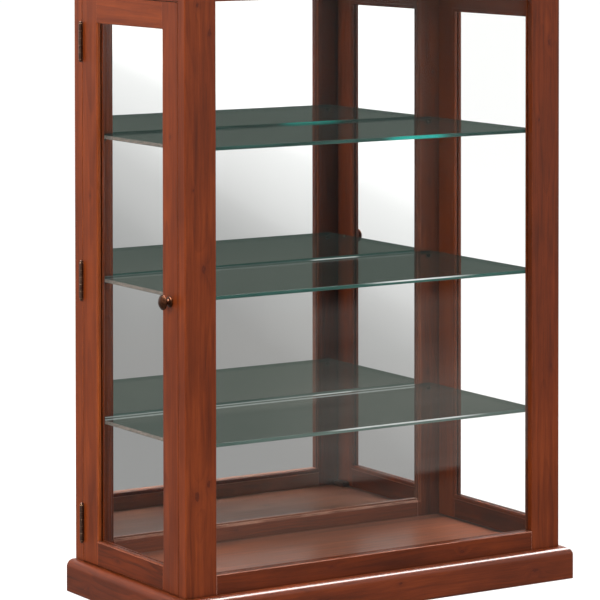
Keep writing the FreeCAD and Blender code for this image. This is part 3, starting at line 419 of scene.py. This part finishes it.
seed = 1.0
for n, (axis, face, tone, knots, extra) in wood_jobs.items():
    seed += 1.618
    setmat(nodes[n], wood("wood_" + n, axis, centre_of(n), seed, face=face, tone=tone, knots=knots, **extra))
for n in ("front_glass_beads", "left_door_beads", "right_door_beads"):
    seed += 1.618
    # the bead arrises are lighter, partly wear and partly painted highlight
    setmat(nodes[n], wood("wood_" + n, "z", centre_of(n), seed, face="y" if n.startswith("front") else "x",
                          tone=0.06, contrast=0.6, rub_and_highlight=2.0))
setmat(nodes["corner_blocks"], wood("raw_pine_blocks", "z", centre_of("corner_blocks"), 31.7, raw=True))
setmat(nodes["mirror_backing"], wood("backing_ply", "z", centre_of("mirror_backing"), 37.9, raw=True,
                                     pith=0.35, contrast=1.5, tone=-0.16))


# ------------------------------------------------------------------ glass
def pane(name, tint, seed, painted_glow_band=None, off=0.15):
    """Clear float glass for a thin pane: transparent with a Fresnel
    reflection, and faint smears that soften the reflection here and there.
    band is the height range (metres) of a painted reflection, a soft grey glow on the glass."""
    g = Graph(name)
    p = g.coords()
    x, y, z = g.xyz(p)
    sm = g.noise(g.vm("ADD", p, (seed, seed, seed)), 5.0, 4.0, 0.6, 0.8)
    smear = g.curve(sm, 0.55, 0.80)
    fr = g.schlick(0.04)
    wipe = g.noise(g.vm("MULTIPLY", g.vm("ADD", p, (seed, 0.0, 0.0)), (3.0, 3.0, 26.0)), 1.0, 4.0, 0.6, 0.4)
    # painted reflection: a grey glow on the glass, set by height, stronger to the right and weighted by the Fresnel
    # term, with a fainter glow at the foot
    if painted_glow_band:
        zw = g.m("ADD", z, g.m("MULTIPLY", g.m("SUBTRACT", wipe, 0.5), 0.03))
        k = g.m("ADD", g.curve(zw, painted_glow_band[1] + 0.03, painted_glow_band[1] - 0.02, 0.0, 0.5),
                g.curve(zw, painted_glow_band[1] - 0.095, painted_glow_band[1] - 0.20, 0.0, 0.5))
        k = g.m("MULTIPLY", k, g.curve(x, -0.36, -0.04, 0.30, 1.0))
        k = g.m("MULTIPLY", g.curve(zw, painted_glow_band[0] - 0.006, painted_glow_band[0] + 0.012), k)
        k = g.m("MULTIPLY", k, g.curve(wipe, 0.25, 0.75, 0.75, 1.25))
        foot = g.curve(z, painted_glow_band[0] + 0.02, painted_glow_band[0] - 0.04, 0.0, 0.40)
        painted_reflection_fac = g.m("MULTIPLY", fr, g.m("ADD", g.m("MULTIPLY", k, 1.33), foot))
    fr = g.m("MULTIPLY", fr, off)
    gl = g.node("ShaderNodeBsdfGlossy")
    g.put(gl.inputs["Color"], (1.0, 0.99, 0.97, 1.0))
    g.put(gl.inputs["Roughness"], g.m("MULTIPLY", smear, 0.10))
    tr = g.node("ShaderNodeBsdfTransparent")
    g.put(tr.inputs["Color"], tint)
    s = g.mix_shader(fr, tr.outputs[0], gl.outputs[0])
    if painted_glow_band:
        painted_reflection_em = g.node("ShaderNodeEmission")
        g.put(painted_reflection_em.inputs["Color"], (0.47, 0.43, 0.39, 1.0))
        s = g.mix_shader(painted_reflection_fac, s, painted_reflection_em.outputs[0])
    # a trace of dust
    dust = g.noise(g.vm("ADD", p, (seed, 0.0, 0.0)), 900.0, 2.0, 0.5)
    dust = g.m("MULTIPLY", g.curve(dust, 0.62, 0.72), 0.006)
    df = g.node("ShaderNodeBsdfDiffuse")
    g.put(df.inputs["Color"], (0.8, 0.8, 0.78, 1.0))
    s = g.mix_shader(dust, s, df.outputs[0])
    return g.out(s)


setmat(nodes["front_glass"], pane("pane_front_glass", (0.992, 0.994, 0.992, 1.0), 3.0, painted_glow_band=(0.264, 0.640), off=0.12))
setmat(nodes["left_door_glass"], pane("pane_left_door_glass", (0.992, 0.994, 0.992, 1.0), 8.1, off=0.22))
setmat(nodes["right_door_glass"], pane("pane_right_door_glass", (0.992, 0.994, 0.992, 1.0), 13.2, off=0.22))


def shelf_glass(name, edge, seed, ztop):
    """Eight-millimetre float glass: clear green from above, dark grey-green at a
    grazing angle from painted shade and a faint painted glow, and polished edges
    that glow with painted green and carry painted highlights."""
    g = Graph(name)
    p = g.coords()
    geo = g.node("ShaderNodeNewGeometry")
    nx, ny, nz = g.xyz(geo.outputs["True Normal"])
    flat = g.m("GREATER_THAN", g.m("ABSOLUTE", nz), 0.9)
    cham = g.m("GREATER_THAN", g.m("ABSOLUTE", nz), 0.3)
    inc = g.m("ABSOLUTE", g.vm("DOT_PRODUCT", geo.outputs["Incoming"], geo.outputs["True Normal"]))
    # broad faces: at a grazing angle the glass takes a faint painted glow of dark grey-green
    painted_veil_fac = g.curve(inc, 0.45, 0.24, 0.0, 1.0)
    tr = g.node("ShaderNodeBsdfTransparent")
    g.put(tr.inputs["Color"], g.mix(painted_veil_fac, (0.93, 0.975, 0.955, 1.0), (0.86, 0.90, 0.88, 1.0)))
    painted_glow_em = g.node("ShaderNodeEmission")
    cloud = g.noise(g.vm("MULTIPLY", g.vm("ADD", p, (seed, 0, 0)), (1.4, 2.2, 1.0)), 1.0, 3.0, 0.5)
    g.put(painted_glow_em.inputs["Color"], g.mix(g.curve(cloud, 0.3, 0.7), srgb(79, 86, 81), srgb(90, 97, 92)))
    painted_glow_em.inputs["Strength"].default_value = 0.90
    df = g.node("ShaderNodeBsdfDiffuse")
    g.put(df.inputs["Color"], srgb(86, 94, 89))
    painted_glow_body = g.mix_shader(0.25, painted_glow_em.outputs[0], df.outputs[0])
    s = g.mix_shader(g.m("MULTIPLY", painted_veil_fac, 0.10), tr.outputs[0], painted_glow_body)
    fr = g.schlick(0.043)
    gl = g.node("ShaderNodeBsdfGlossy")
    g.put(gl.inputs["Color"], (0.55, 0.60, 0.58, 1.0))
    smear = g.curve(g.noise(g.vm("ADD", p, (seed, seed, 0)), 6.0, 4.0, 0.6, 0.6), 0.5, 0.8)
    g.put(gl.inputs["Roughness"], g.m("ADD", g.m("MULTIPLY", smear, 0.06), 0.02))
    frl = g.m("MULTIPLY", fr, g.m("SUBTRACT", 1.0, g.m("MULTIPLY", painted_veil_fac, 0.96)))
    s = g.mix_shader(frl, s, gl.outputs[0])
    # polished edges glow with a painted dark green, with a painted highlight of bright green along a stretch of x
    x, y, z = g.xyz(p)
    along = g.noise(g.vm("MULTIPLY", g.vm("ADD", p, (seed, seed, seed)), (7.0, 7.0, 120.0)), 1.0, 3.0, 0.6)
    painted_edge_col = g.ramp(along, [(0.25, srgb(*edge[0])), (0.5, srgb(*edge[1])), (0.75, srgb(*edge[2]))])
    wob = g.m("ADD", x, g.m("MULTIPLY", g.m("SUBTRACT", along, 0.5), 0.05))
    if edge[3]:
        painted_highlight_run = g.m("MULTIPLY", g.curve(wob, edge[3][0] - 0.03, edge[3][0] + 0.03),
                  g.curve(wob, edge[3][1] + 0.03, edge[3][1] - 0.03))
        painted_edge_col = g.mix(painted_highlight_run, painted_edge_col, srgb(*edge[4]))
    # painted reflection: the ends glow a warm grey, as if reflecting the wood beside them
    fleck = g.noise(g.vm("MULTIPLY", g.vm("ADD", p, (0.0, seed, 0.0)), (200.0, 260.0, 600.0)), 1.0, 2.0, 0.6)
    end_painted_reflection = g.ramp(fleck, [(0.35, srgb(86, 92, 86)), (0.5, srgb(112, 104, 96)), (0.68, srgb(150, 134, 126))])
    painted_edge_col = g.mix(g.m("GREATER_THAN", g.m("ABSOLUTE", nx), 0.7), painted_edge_col, end_painted_reflection)
    painted_edge_em = g.node("ShaderNodeEmission")
    g.put(painted_edge_em.inputs["Color"], painted_edge_col)
    painted_edge_em.inputs["Strength"].default_value = 0.95
    eg = g.node("ShaderNodeBsdfPrincipled")
    g.put(eg.inputs["Base Color"], painted_edge_col)
    g.put(eg.inputs["Roughness"], 0.10)
    eg.inputs["Specular IOR Level"].default_value = 0.2
    es = g.mix_shader(0.35, painted_edge_em.outputs[0], eg.outputs[0])
    # the small top chamfer glows half with the edge colour and half with the broad-face colour; a painted white
    # highlight lies along part of the lip
    base_ch = g.mix_shader(0.5, es, painted_glow_body)
    es = g.mix_shader(cham, es, base_ch)
    lip = g.curve(z, ztop - 0.0034, ztop - 0.0022)
    if edge[5]:
        lip_highlight_em = g.node("ShaderNodeEmission")
        g.put(lip_highlight_em.inputs["Color"], g.ramp(along, [(0.3, srgb(180, 187, 185)), (0.7, srgb(232, 236, 234))]))
        painted_lip_highlight = g.m("MULTIPLY", g.m("MULTIPLY", g.curve(wob, edge[5][0] - 0.05, edge[5][0] + 0.05),
                                      g.curve(wob, edge[5][1] + 0.05, edge[5][1] - 0.05)), lip)
        painted_lip_highlight = g.m("MULTIPLY", painted_lip_highlight, g.m("LESS_THAN", ny, -0.3))
        es = g.mix_shader(painted_lip_highlight, es, lip_highlight_em.outputs[0])
    # seen from inside the glass, the far edges are nearly clear, with a faint painted dark green glow
    te = g.node("ShaderNodeBsdfTransparent")
    g.put(te.inputs["Color"], (0.80, 0.88, 0.86, 1.0))
    inner_painted_glow_em = g.node("ShaderNodeEmission")
    g.put(inner_painted_glow_em.inputs["Color"], srgb(44, 66, 60))
    inner_painted_glow_em.inputs["Strength"].default_value = 0.8
    inner = g.mix_shader(0.22, te.outputs[0], inner_painted_glow_em.outputs[0])
    if edge[6]:  # a painted highlight along a short stretch of the far edge
        far_highlight_em = g.node("ShaderNodeEmission")
        g.put(far_highlight_em.inputs["Color"], srgb(196, 200, 198))
        painted_far_highlight = g.m("MULTIPLY", g.curve(wob, edge[6][0] - 0.015, edge[6][0] + 0.01),
                      g.curve(wob, edge[6][1] + 0.015, edge[6][1] - 0.01))
        foot_lip = g.curve(z, ztop - 0.0046, ztop - 0.0058)
        painted_far_highlight = g.m("MULTIPLY", g.m("MAXIMUM", g.m("MULTIPLY", painted_far_highlight, lip),
                                      g.m("MULTIPLY", g.m("MAXIMUM", lip, foot_lip), edge[7])),
                      g.m("MULTIPLY", g.m("GREATER_THAN", y, 0.1),
                          g.m("MULTIPLY", g.m("LESS_THAN", g.m("ABSOLUTE", nx), 0.7), g.m("LESS_THAN", x, 0.388))))
        inner = g.mix_shader(painted_far_highlight, inner, far_highlight_em.outputs[0])
    es = g.mix_shader(geo.outputs["Backfacing"], es, inner)
    s = g.mix_shader(flat, es, s)
    return g.out(s)


# painted edge glow colours (dark, middle, light), a painted bright stretch along x and its colour,
# the stretch of the front lip with a painted highlight, and the same on the far edge
EDGES = {
    "shelf_top": ((30, 54, 48), (40, 68, 62), (48, 90, 82), (0.055, 0.185), (37, 156, 144), None, None, 0.0),
    "shelf_middle": ((38, 70, 64), (50, 84, 77), (60, 100, 92), None, None, (0.01, 0.24), (0.112, 0.23), 0.12),
    "shelf_bottom": ((62, 84, 78), (76, 96, 90), (92, 112, 106), None, None, (-0.08, 0.27), (0.112, 0.22), 0.5),
}
for i, (n, e) in enumerate(EDGES.items()):
    setmat(nodes[n], shelf_glass("glass_" + n, e, 2.0 + 3.3 * i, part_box(n)[1].z))


def mirror_mat():
    g = Graph("mirror_silver")
    p = g.coords()
    gl = g.node("ShaderNodeBsdfGlossy")
    g.put(gl.inputs["Color"], (0.90, 0.905, 0.90, 1.0))
    gl.inputs["Roughness"].default_value = 0.0
    geo = g.node("ShaderNodeNewGeometry")
    nx, ny, nz = g.xyz(geo.outputs["True Normal"])
    front = g.m("LESS_THAN", ny, -0.9)
    # fine haze of dust on the glass
    dust = g.m("MULTIPLY", g.curve(g.noise(p, 700.0, 2.0, 0.5), 0.60, 0.72), 0.010)
    df = g.node("ShaderNodeBsdfDiffuse")
    g.put(df.inputs["Color"], (0.7, 0.72, 0.7, 1.0))
    s = g.mix_shader(dust, gl.outputs[0], df.outputs[0])
    back = g.node("ShaderNodeBsdfPrincipled")
    bn = g.noise(p, 40.0, 4.0, 0.6)
    g.put(back.inputs["Base Color"], g.ramp(bn, [(0.3, srgb(66, 70, 72)), (0.7, srgb(88, 92, 92))]))
    g.put(back.inputs["Roughness"], g.m("ADD", g.m("MULTIPLY", bn, 0.3), 0.4))
    s = g.mix_shader(front, back.outputs[0], s)
    return g.out(s)


setmat(nodes["mirror"], mirror_mat())


# ------------------------------------------------------------------ metal
def metal(name, dark, light, worn, seed, rough=0.38, metallic=0.9, scale=1.0):
    """Aged metal: patina in blotches, fine scratches, and arrises rubbed
    back to brighter metal."""
    g = Graph(name)
    p = g.vm("ADD", g.coords(), (seed, seed * 0.7, seed * 1.3))
    a = g.noise(p, 260.0 * scale, 5.0, 0.65, 0.6)
    b_ = g.noise(p, 60.0 * scale, 3.0, 0.55)
    f = g.m("ADD", g.m("MULTIPLY", a, 0.65), g.m("MULTIPLY", b_, 0.45))
    col = g.ramp(f, [(0.38, dark), (0.72, light)])
    bev = g.node("ShaderNodeBevel", samples=3)
    bev.inputs["Radius"].default_value = 0.0006
    geo = g.node("ShaderNodeNewGeometry")
    dot = g.vm("DOT_PRODUCT", bev.outputs[0], geo.outputs["Normal"])
    wear = g.curve(dot, 0.992, 0.90)
    wear = g.m("MULTIPLY", wear, g.curve(a, 0.35, 0.65, 0.3, 1.0))
    col = g.mix(wear, col, worn)
    scr = g.noise(g.vm("MULTIPLY", p, (1800.0, 1800.0, 60.0)), 1.0, 2.0, 0.5)
    ro = g.m("ADD", g.m("MULTIPLY", g.m("SUBTRACT", a, 0.5), 0.35), rough)
    ro = g.m("SUBTRACT", ro, g.m("MULTIPLY", wear, 0.12))
    ro = g.m("ADD", ro, g.m("MULTIPLY", g.m("SUBTRACT", scr, 0.5), 0.10))
    h = g.m("ADD", g.m("MULTIPLY", a, 0.6), g.m("MULTIPLY", scr, 0.25))
    nrm = g.bump(h, 0.25, 0.0002, bev.outputs[0])
    bs = g.node("ShaderNodeBsdfPrincipled")
    g.put(bs.inputs["Base Color"], col)
    g.put(bs.inputs["Metallic"], metallic)
    g.put(bs.inputs["Roughness"], ro)
    g.put(bs.inputs["Normal"], nrm)
    return g.out(bs.outputs[0])


bronze = metal("aged_bronze", srgb(48, 34, 27), srgb(112, 84, 70), srgb(182, 140, 106), 1.3)
for n in ("hinge_leaves_fixed_left", "hinge_leaves_fixed_right", "hinge_pins",
          "left_door_hinge_leaves", "right_door_hinge_leaves"):
    setmat(nodes[n], bronze)
pinmat = metal("shelf_pin_bronze", srgb(30, 24, 20), srgb(78, 62, 50), srgb(150, 126, 98), 4.7)
setmat(nodes["shelf_pins"], pinmat)
knobmat = metal("knob_bronze", srgb(42, 22, 12), srgb(88, 50, 30), srgb(158, 106, 70), 7.9, rough=0.32, metallic=0.88)
for n in ("left_door_knob", "right_door_knob"):
    setmat(nodes[n], knobmat)
zinc = metal("zinc_plate", srgb(112, 104, 84), srgb(168, 162, 140), srgb(205, 203, 190), 11.1, rough=0.34)
for n in nodes:
    if "screw" in n or "strike" in n:
        setmat(nodes[n], zinc)
for n in ("hinge_screws_fixed", "left_door_hinge_screws", "right_door_hinge_screws"):
    setmat(nodes[n], bronze)


def plastic(name, a, b, seed):
    g = Graph(name)
    p = g.vm("ADD", g.coords(), (seed, seed, seed))
    n1 = g.noise(p, 900.0, 3.0, 0.6)
    n2 = g.noise(p, 50.0, 3.0, 0.6)
    bs = g.node("ShaderNodeBsdfPrincipled")
    g.put(bs.inputs["Base Color"], g.ramp(n2, [(0.3, a), (0.7, b)]))
    g.put(bs.inputs["Roughness"], g.m("ADD", g.m("MULTIPLY", n2, 0.2), 0.36))
    g.put(bs.inputs["Normal"], g.bump(n1, 0.3, 0.0002))
    return g.out(bs.outputs[0])


setmat(nodes["door_catches"], plastic("catch_brown", srgb(38, 22, 16), srgb(52, 31, 23), 2.2))


# ------------------------------------------------------------------ stage
def plane(name, size, z):
    me = bpy.data.meshes.new(name)
    s = size / 2
    me.from_pydata([(-s, -s, z), (s, -s, z), (s, s, z), (-s, s, z)], [], [(0, 1, 2, 3)])
    o = bpy.data.objects.new(name, me)
    scene.collection.objects.link(o)
    return o


floor = plane("studio_floor", 120.0, -0.0005)
g = Graph("floor_paper")
lp = g.node("ShaderNodeLightPath")
geo = g.node("ShaderNodeNewGeometry")
px, py, pz = g.xyz(geo.outputs["Position"])
dist = g.m("SQRT", g.m("ADD", g.m("MULTIPLY", px, px), g.m("MULTIPLY", py, py)))
df = g.node("ShaderNodeBsdfDiffuse")
grain = g.noise(geo.outputs["Position"], 300.0, 3.0, 0.6)
g.put(df.inputs["Color"], g.mix(grain, (0.90, 0.90, 0.90, 1.0), (0.93, 0.93, 0.93, 1.0)))
# painted reflection: a glow that only reflected rays see, standing for the studio; it is
# darker close to the object and brightens away to the right
painted_glow_em = g.node("ShaderNodeEmission")
reach = g.m("ADD", px, g.m("MULTIPLY", py, 0.4))
PAINTED_REFLECTION_REACH = [(0.0, 0.342), (0.45, 0.350), (0.70, 0.382), (0.80, 0.428), (0.95, 0.484), (1.11, 0.535), (1.20, 0.59),
         (1.31, 0.66), (1.42, 0.77), (1.60, 0.87), (1.74, 0.93), (1.90, 0.99), (2.05, 1.05), (2.30, 1.25), (2.5, 1.45)]
# far off this painted reflection turns paler towards the horizon, whichever way the mirror looks
painted_reflection_near = g.node("ShaderNodeMix", data_type="RGBA", blend_type="LIGHTEN")
painted_reflection_near.inputs[0].default_value = 1.0
g.put(painted_reflection_near.inputs[6], g.ramp(g.m("DIVIDE", reach, 2.5), [(a / 2.5, (b,) * 3) for a, b in PAINTED_REFLECTION_REACH]))
g.put(painted_reflection_near.inputs[7], g.vm("SCALE", (0.96, 0.96, 0.96), scale=g.curve(dist, 7.5, 24.0)))
painted_reflection_near = painted_reflection_near.outputs[2]
# a paler area of painted reflection further off to the left
off_left = g.m("ADD", px, g.m("MULTIPLY", g.m("SUBTRACT", py, 0.2), 0.637))
painted_reflection_patch = g.m("MULTIPLY", g.curve(off_left, -0.35, -0.62),
            g.m("MULTIPLY", g.curve(reach, 0.05, 0.95), g.curve(reach, 2.3, 1.2)))
g.put(painted_glow_em.inputs["Color"], g.vm("ADD", painted_reflection_near, g.vm("SCALE", (0.15, 0.15, 0.15), scale=painted_reflection_patch)))
painted_glow_em.inputs["Strength"].default_value = 1.0
lit = g.node("ShaderNodeEmission")
g.put(lit.inputs["Color"], (1.0, 1.0, 1.0, 1.0))
lit.inputs["Strength"].default_value = 1.28
seen = g.mix_shader(0.55, df.outputs[0], lit.outputs[0])
s = g.mix_shader(lp.outputs["Is Camera Ray"], df.outputs[0], seen)
s = g.mix_shader(lp.outputs["Is Glossy Ray"], s, painted_glow_em.outputs[0])
# painted shade: camera and reflected rays that have passed many glass faces, as when the studio is seen
# edge-on through a thick glass shelf, see a flat dark grey-green glow; seen from higher up the same glass is clear
DEEP_PAINTED_SHADE = (0.102, 0.120, 0.108, 1.0)
deep_painted_shade_mask = g.m("GREATER_THAN", lp.outputs["Transparent Depth"], 5.5)
direct = g.m("MAXIMUM", lp.outputs["Is Camera Ray"], lp.outputs["Is Glossy Ray"])
ix, iy, iz = g.xyz(geo.outputs["Incoming"])
low = g.curve(g.m("ABSOLUTE", iz), 0.42, 0.24)
painted_deep_shade_em = g.node("ShaderNodeEmission")
g.put(painted_deep_shade_em.inputs["Color"], DEEP_PAINTED_SHADE)
s = g.mix_shader(g.m("MULTIPLY", g.m("MULTIPLY", deep_painted_shade_mask, direct), low), s, painted_deep_shade_em.outputs[0])
setmat(floor, g.out(s))

world = bpy.data.worlds.new("studio")
scene.world = world
world.use_nodes = True
t = world.node_tree
t.nodes.clear()
wo = t.nodes.new("ShaderNodeOutputWorld")
bg_d = t.nodes.new("ShaderNodeBackground")
bg_d.inputs[0].default_value = (1.0, 0.995, 0.985, 1.0)
bg_d.inputs[1].default_value = 0.80
bg_c = t.nodes.new("ShaderNodeBackground")
bg_c.inputs[0].default_value = (1.0, 1.0, 1.0, 1.0)
bg_c.inputs[1].default_value = 1.2
bg_g = t.nodes.new("ShaderNodeBackground")
tc = t.nodes.new("ShaderNodeTexCoord")
sep = t.nodes.new("ShaderNodeSeparateXYZ")
t.links.new(tc.outputs["Generated"], sep.inputs[0])
rmp = t.nodes.new("ShaderNodeValToRGB")
stops = [(0.0, 0.040), (0.40, 0.036), (0.62, 0.030), (0.76, 0.04), (0.80, 1.0), (1.0, 1.0)]
cr = rmp.color_ramp
while len(cr.elements) < len(stops):
    cr.elements.new(0.5)
for e, (pos, val) in zip(cr.elements, stops):
    e.position = pos
    e.color = (val, val, val, 1.0)
t.links.new(sep.outputs["Z"], rmp.inputs[0])
t.links.new(rmp.outputs[0], bg_g.inputs[0])
bg_g.inputs[1].default_value = 24.0
lpw = t.nodes.new("ShaderNodeLightPath")
mx1 = t.nodes.new("ShaderNodeMixShader")
mx2 = t.nodes.new("ShaderNodeMixShader")
t.links.new(lpw.outputs["Is Glossy Ray"], mx1.inputs[0])
t.links.new(bg_d.outputs[0], mx1.inputs[1])
t.links.new(bg_g.outputs[0], mx1.inputs[2])
t.links.new(lpw.outputs["Is Camera Ray"], mx2.inputs[0])
t.links.new(mx1.outputs[0], mx2.inputs[1])
t.links.new(bg_c.outputs[0], mx2.inputs[2])
# painted shade: camera and reflected rays past more than five glass faces see a flat dark grey-green instead of the
# studio
bg_painted_deep_shade = t.nodes.new("ShaderNodeBackground")
bg_painted_deep_shade.inputs[0].default_value = DEEP_PAINTED_SHADE
gt = t.nodes.new("ShaderNodeMath")
gt.operation = "GREATER_THAN"
gt.inputs[1].default_value = 5.5
t.links.new(lpw.outputs["Transparent Depth"], gt.inputs[0])
mxm = t.nodes.new("ShaderNodeMath")
mxm.operation = "MAXIMUM"
t.links.new(lpw.outputs["Is Camera Ray"], mxm.inputs[0])
t.links.new(lpw.outputs["Is Glossy Ray"], mxm.inputs[1])
mul = t.nodes.new("ShaderNodeMath")
mul.operation = "MULTIPLY"
t.links.new(gt.outputs[0], mul.inputs[0])
t.links.new(mxm.outputs[0], mul.inputs[1])
mx3 = t.nodes.new("ShaderNodeMixShader")
t.links.new(mul.outputs[0], mx3.inputs[0])
t.links.new(mx2.outputs[0], mx3.inputs[1])
t.links.new(bg_painted_deep_shade.outputs[0], mx3.inputs[2])
t.links.new(mx3.outputs[0], wo.inputs[0])


def area(name, loc, target, size, power, color=(1, 1, 1), glossy=False):
    ld = bpy.data.lights.new(name, "AREA")
    ld.shape = "RECTANGLE"
    ld.size, ld.size_y = size
    ld.energy = power
    ld.color = color
    o = bpy.data.objects.new(name, ld)
    o.location = loc
    d = Vector(target) - Vector(loc)
    o.rotation_mode = "QUATERNION"
    o.rotation_quaternion = d.to_track_quat("-Z", "Y")
    scene.collection.objects.link(o)
    o.visible_glossy = glossy
    o.visible_camera = False
    return o


area("key_left", (-4.2, -1.2, 2.6), (0.0, 0.0, 0.7), (2.6, 2.6), 230, (1.0, 0.985, 0.965))
area("fill_front", (1.2, -5.0, 1.35), (0.0, 0.0, 0.5), (3.0, 2.2), 72, (1.0, 0.985, 0.965))
area("top_soft", (0.0, -0.4, 4.0), (0.0, 0.0, 0.6), (3.4, 3.4), 110)

# ------------------------------------------------------------------ camera
W = 0.950
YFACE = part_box("front_stile_left")[0].y
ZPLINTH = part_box("plinth_front")[1].z
CAM = dict(cx=-4.0006, cy=-5.9836, cz=1.5963, yaw=0.5665, pitch=-0.0266, roll=-0.0009,
           f=3244.1886, px=304.9345, py=-57.4516)
cyw, syw = math.cos(CAM["yaw"]), math.sin(CAM["yaw"])
cp, sp = math.cos(CAM["pitch"]), math.sin(CAM["pitch"])
crr, srr = math.cos(CAM["roll"]), math.sin(CAM["roll"])
fwd = Vector((syw, cyw, 0.0))
right = Vector((cyw, -syw, 0.0))
up = Vector((0, 0, 1.0))
f2 = fwd * cp + up * sp
u2 = up * cp - fwd * sp
r3 = right * crr + u2 * srr
u3 = u2 * crr - right * srr
cam_d = bpy.data.cameras.new("camera")
cam = bpy.data.objects.new("camera", cam_d)
scene.collection.objects.link(cam)
cam_d.sensor_fit = "HORIZONTAL"
cam_d.sensor_width = 36.0
cam_d.lens = CAM["f"] * 36.0 / 600.0
cam_d.shift_x = (300.0 - CAM["px"]) / 600.0
cam_d.shift_y = (CAM["py"] - 300.0) / 600.0
cam_d.clip_start, cam_d.clip_end = 0.1, 300.0
loc = Vector((CAM["cx"] * W, CAM["cy"] * W + YFACE, CAM["cz"] * W + ZPLINTH))
cam.matrix_world = Matrix(((r3.x, u3.x, -f2.x, loc.x), (r3.y, u3.y, -f2.y, loc.y),
                           (r3.z, u3.z, -f2.z, loc.z), (0, 0, 0, 1)))
scene.camera = cam

# The picture is the lower part of a taller frame, so the lens is shifted. The
# shift belongs to this one station: away from it the lens is centred again.
station = bpy.data.objects.new("camera_station", None)
station.location = loc
scene.collection.objects.link(station)
for prop, amount in (("shift_x", cam_d.shift_x), ("shift_y", cam_d.shift_y)):
    fc = cam_d.driver_add(prop)
    for mod_ in list(fc.modifiers):
        fc.modifiers.remove(mod_)
    fc.driver.type = "AVERAGE"
    var = fc.driver.variables.new()
    var.name = "away"
    var.type = "LOC_DIFF"
    var.targets[0].id = cam
    var.targets[1].id = station
    fc.keyframe_points.add(4)
    for key, (away, val) in zip(fc.keyframe_points, ((0.0, amount), (0.02, amount), (0.05, 0.0), (500.0, 0.0))):
        key.co = (away, val)
        key.interpolation = "LINEAR"
    fc.extrapolation = "CONSTANT"
    fc.update()

scene.view_settings.view_transform = "Standard"
scene.view_settings.look = "None"
scene.view_settings.exposure = 0.0
scene.view_settings.gamma = 1.0

# smooth the rounded faces and keep the flats flat
for n, o in nodes.items():
    for poly in o.data.polygons:
        poly.use_smooth = True
    if hasattr(o.data, "set_sharp_from_angle"):
        o.data.set_sharp_from_angle(angle=math.radians(32))
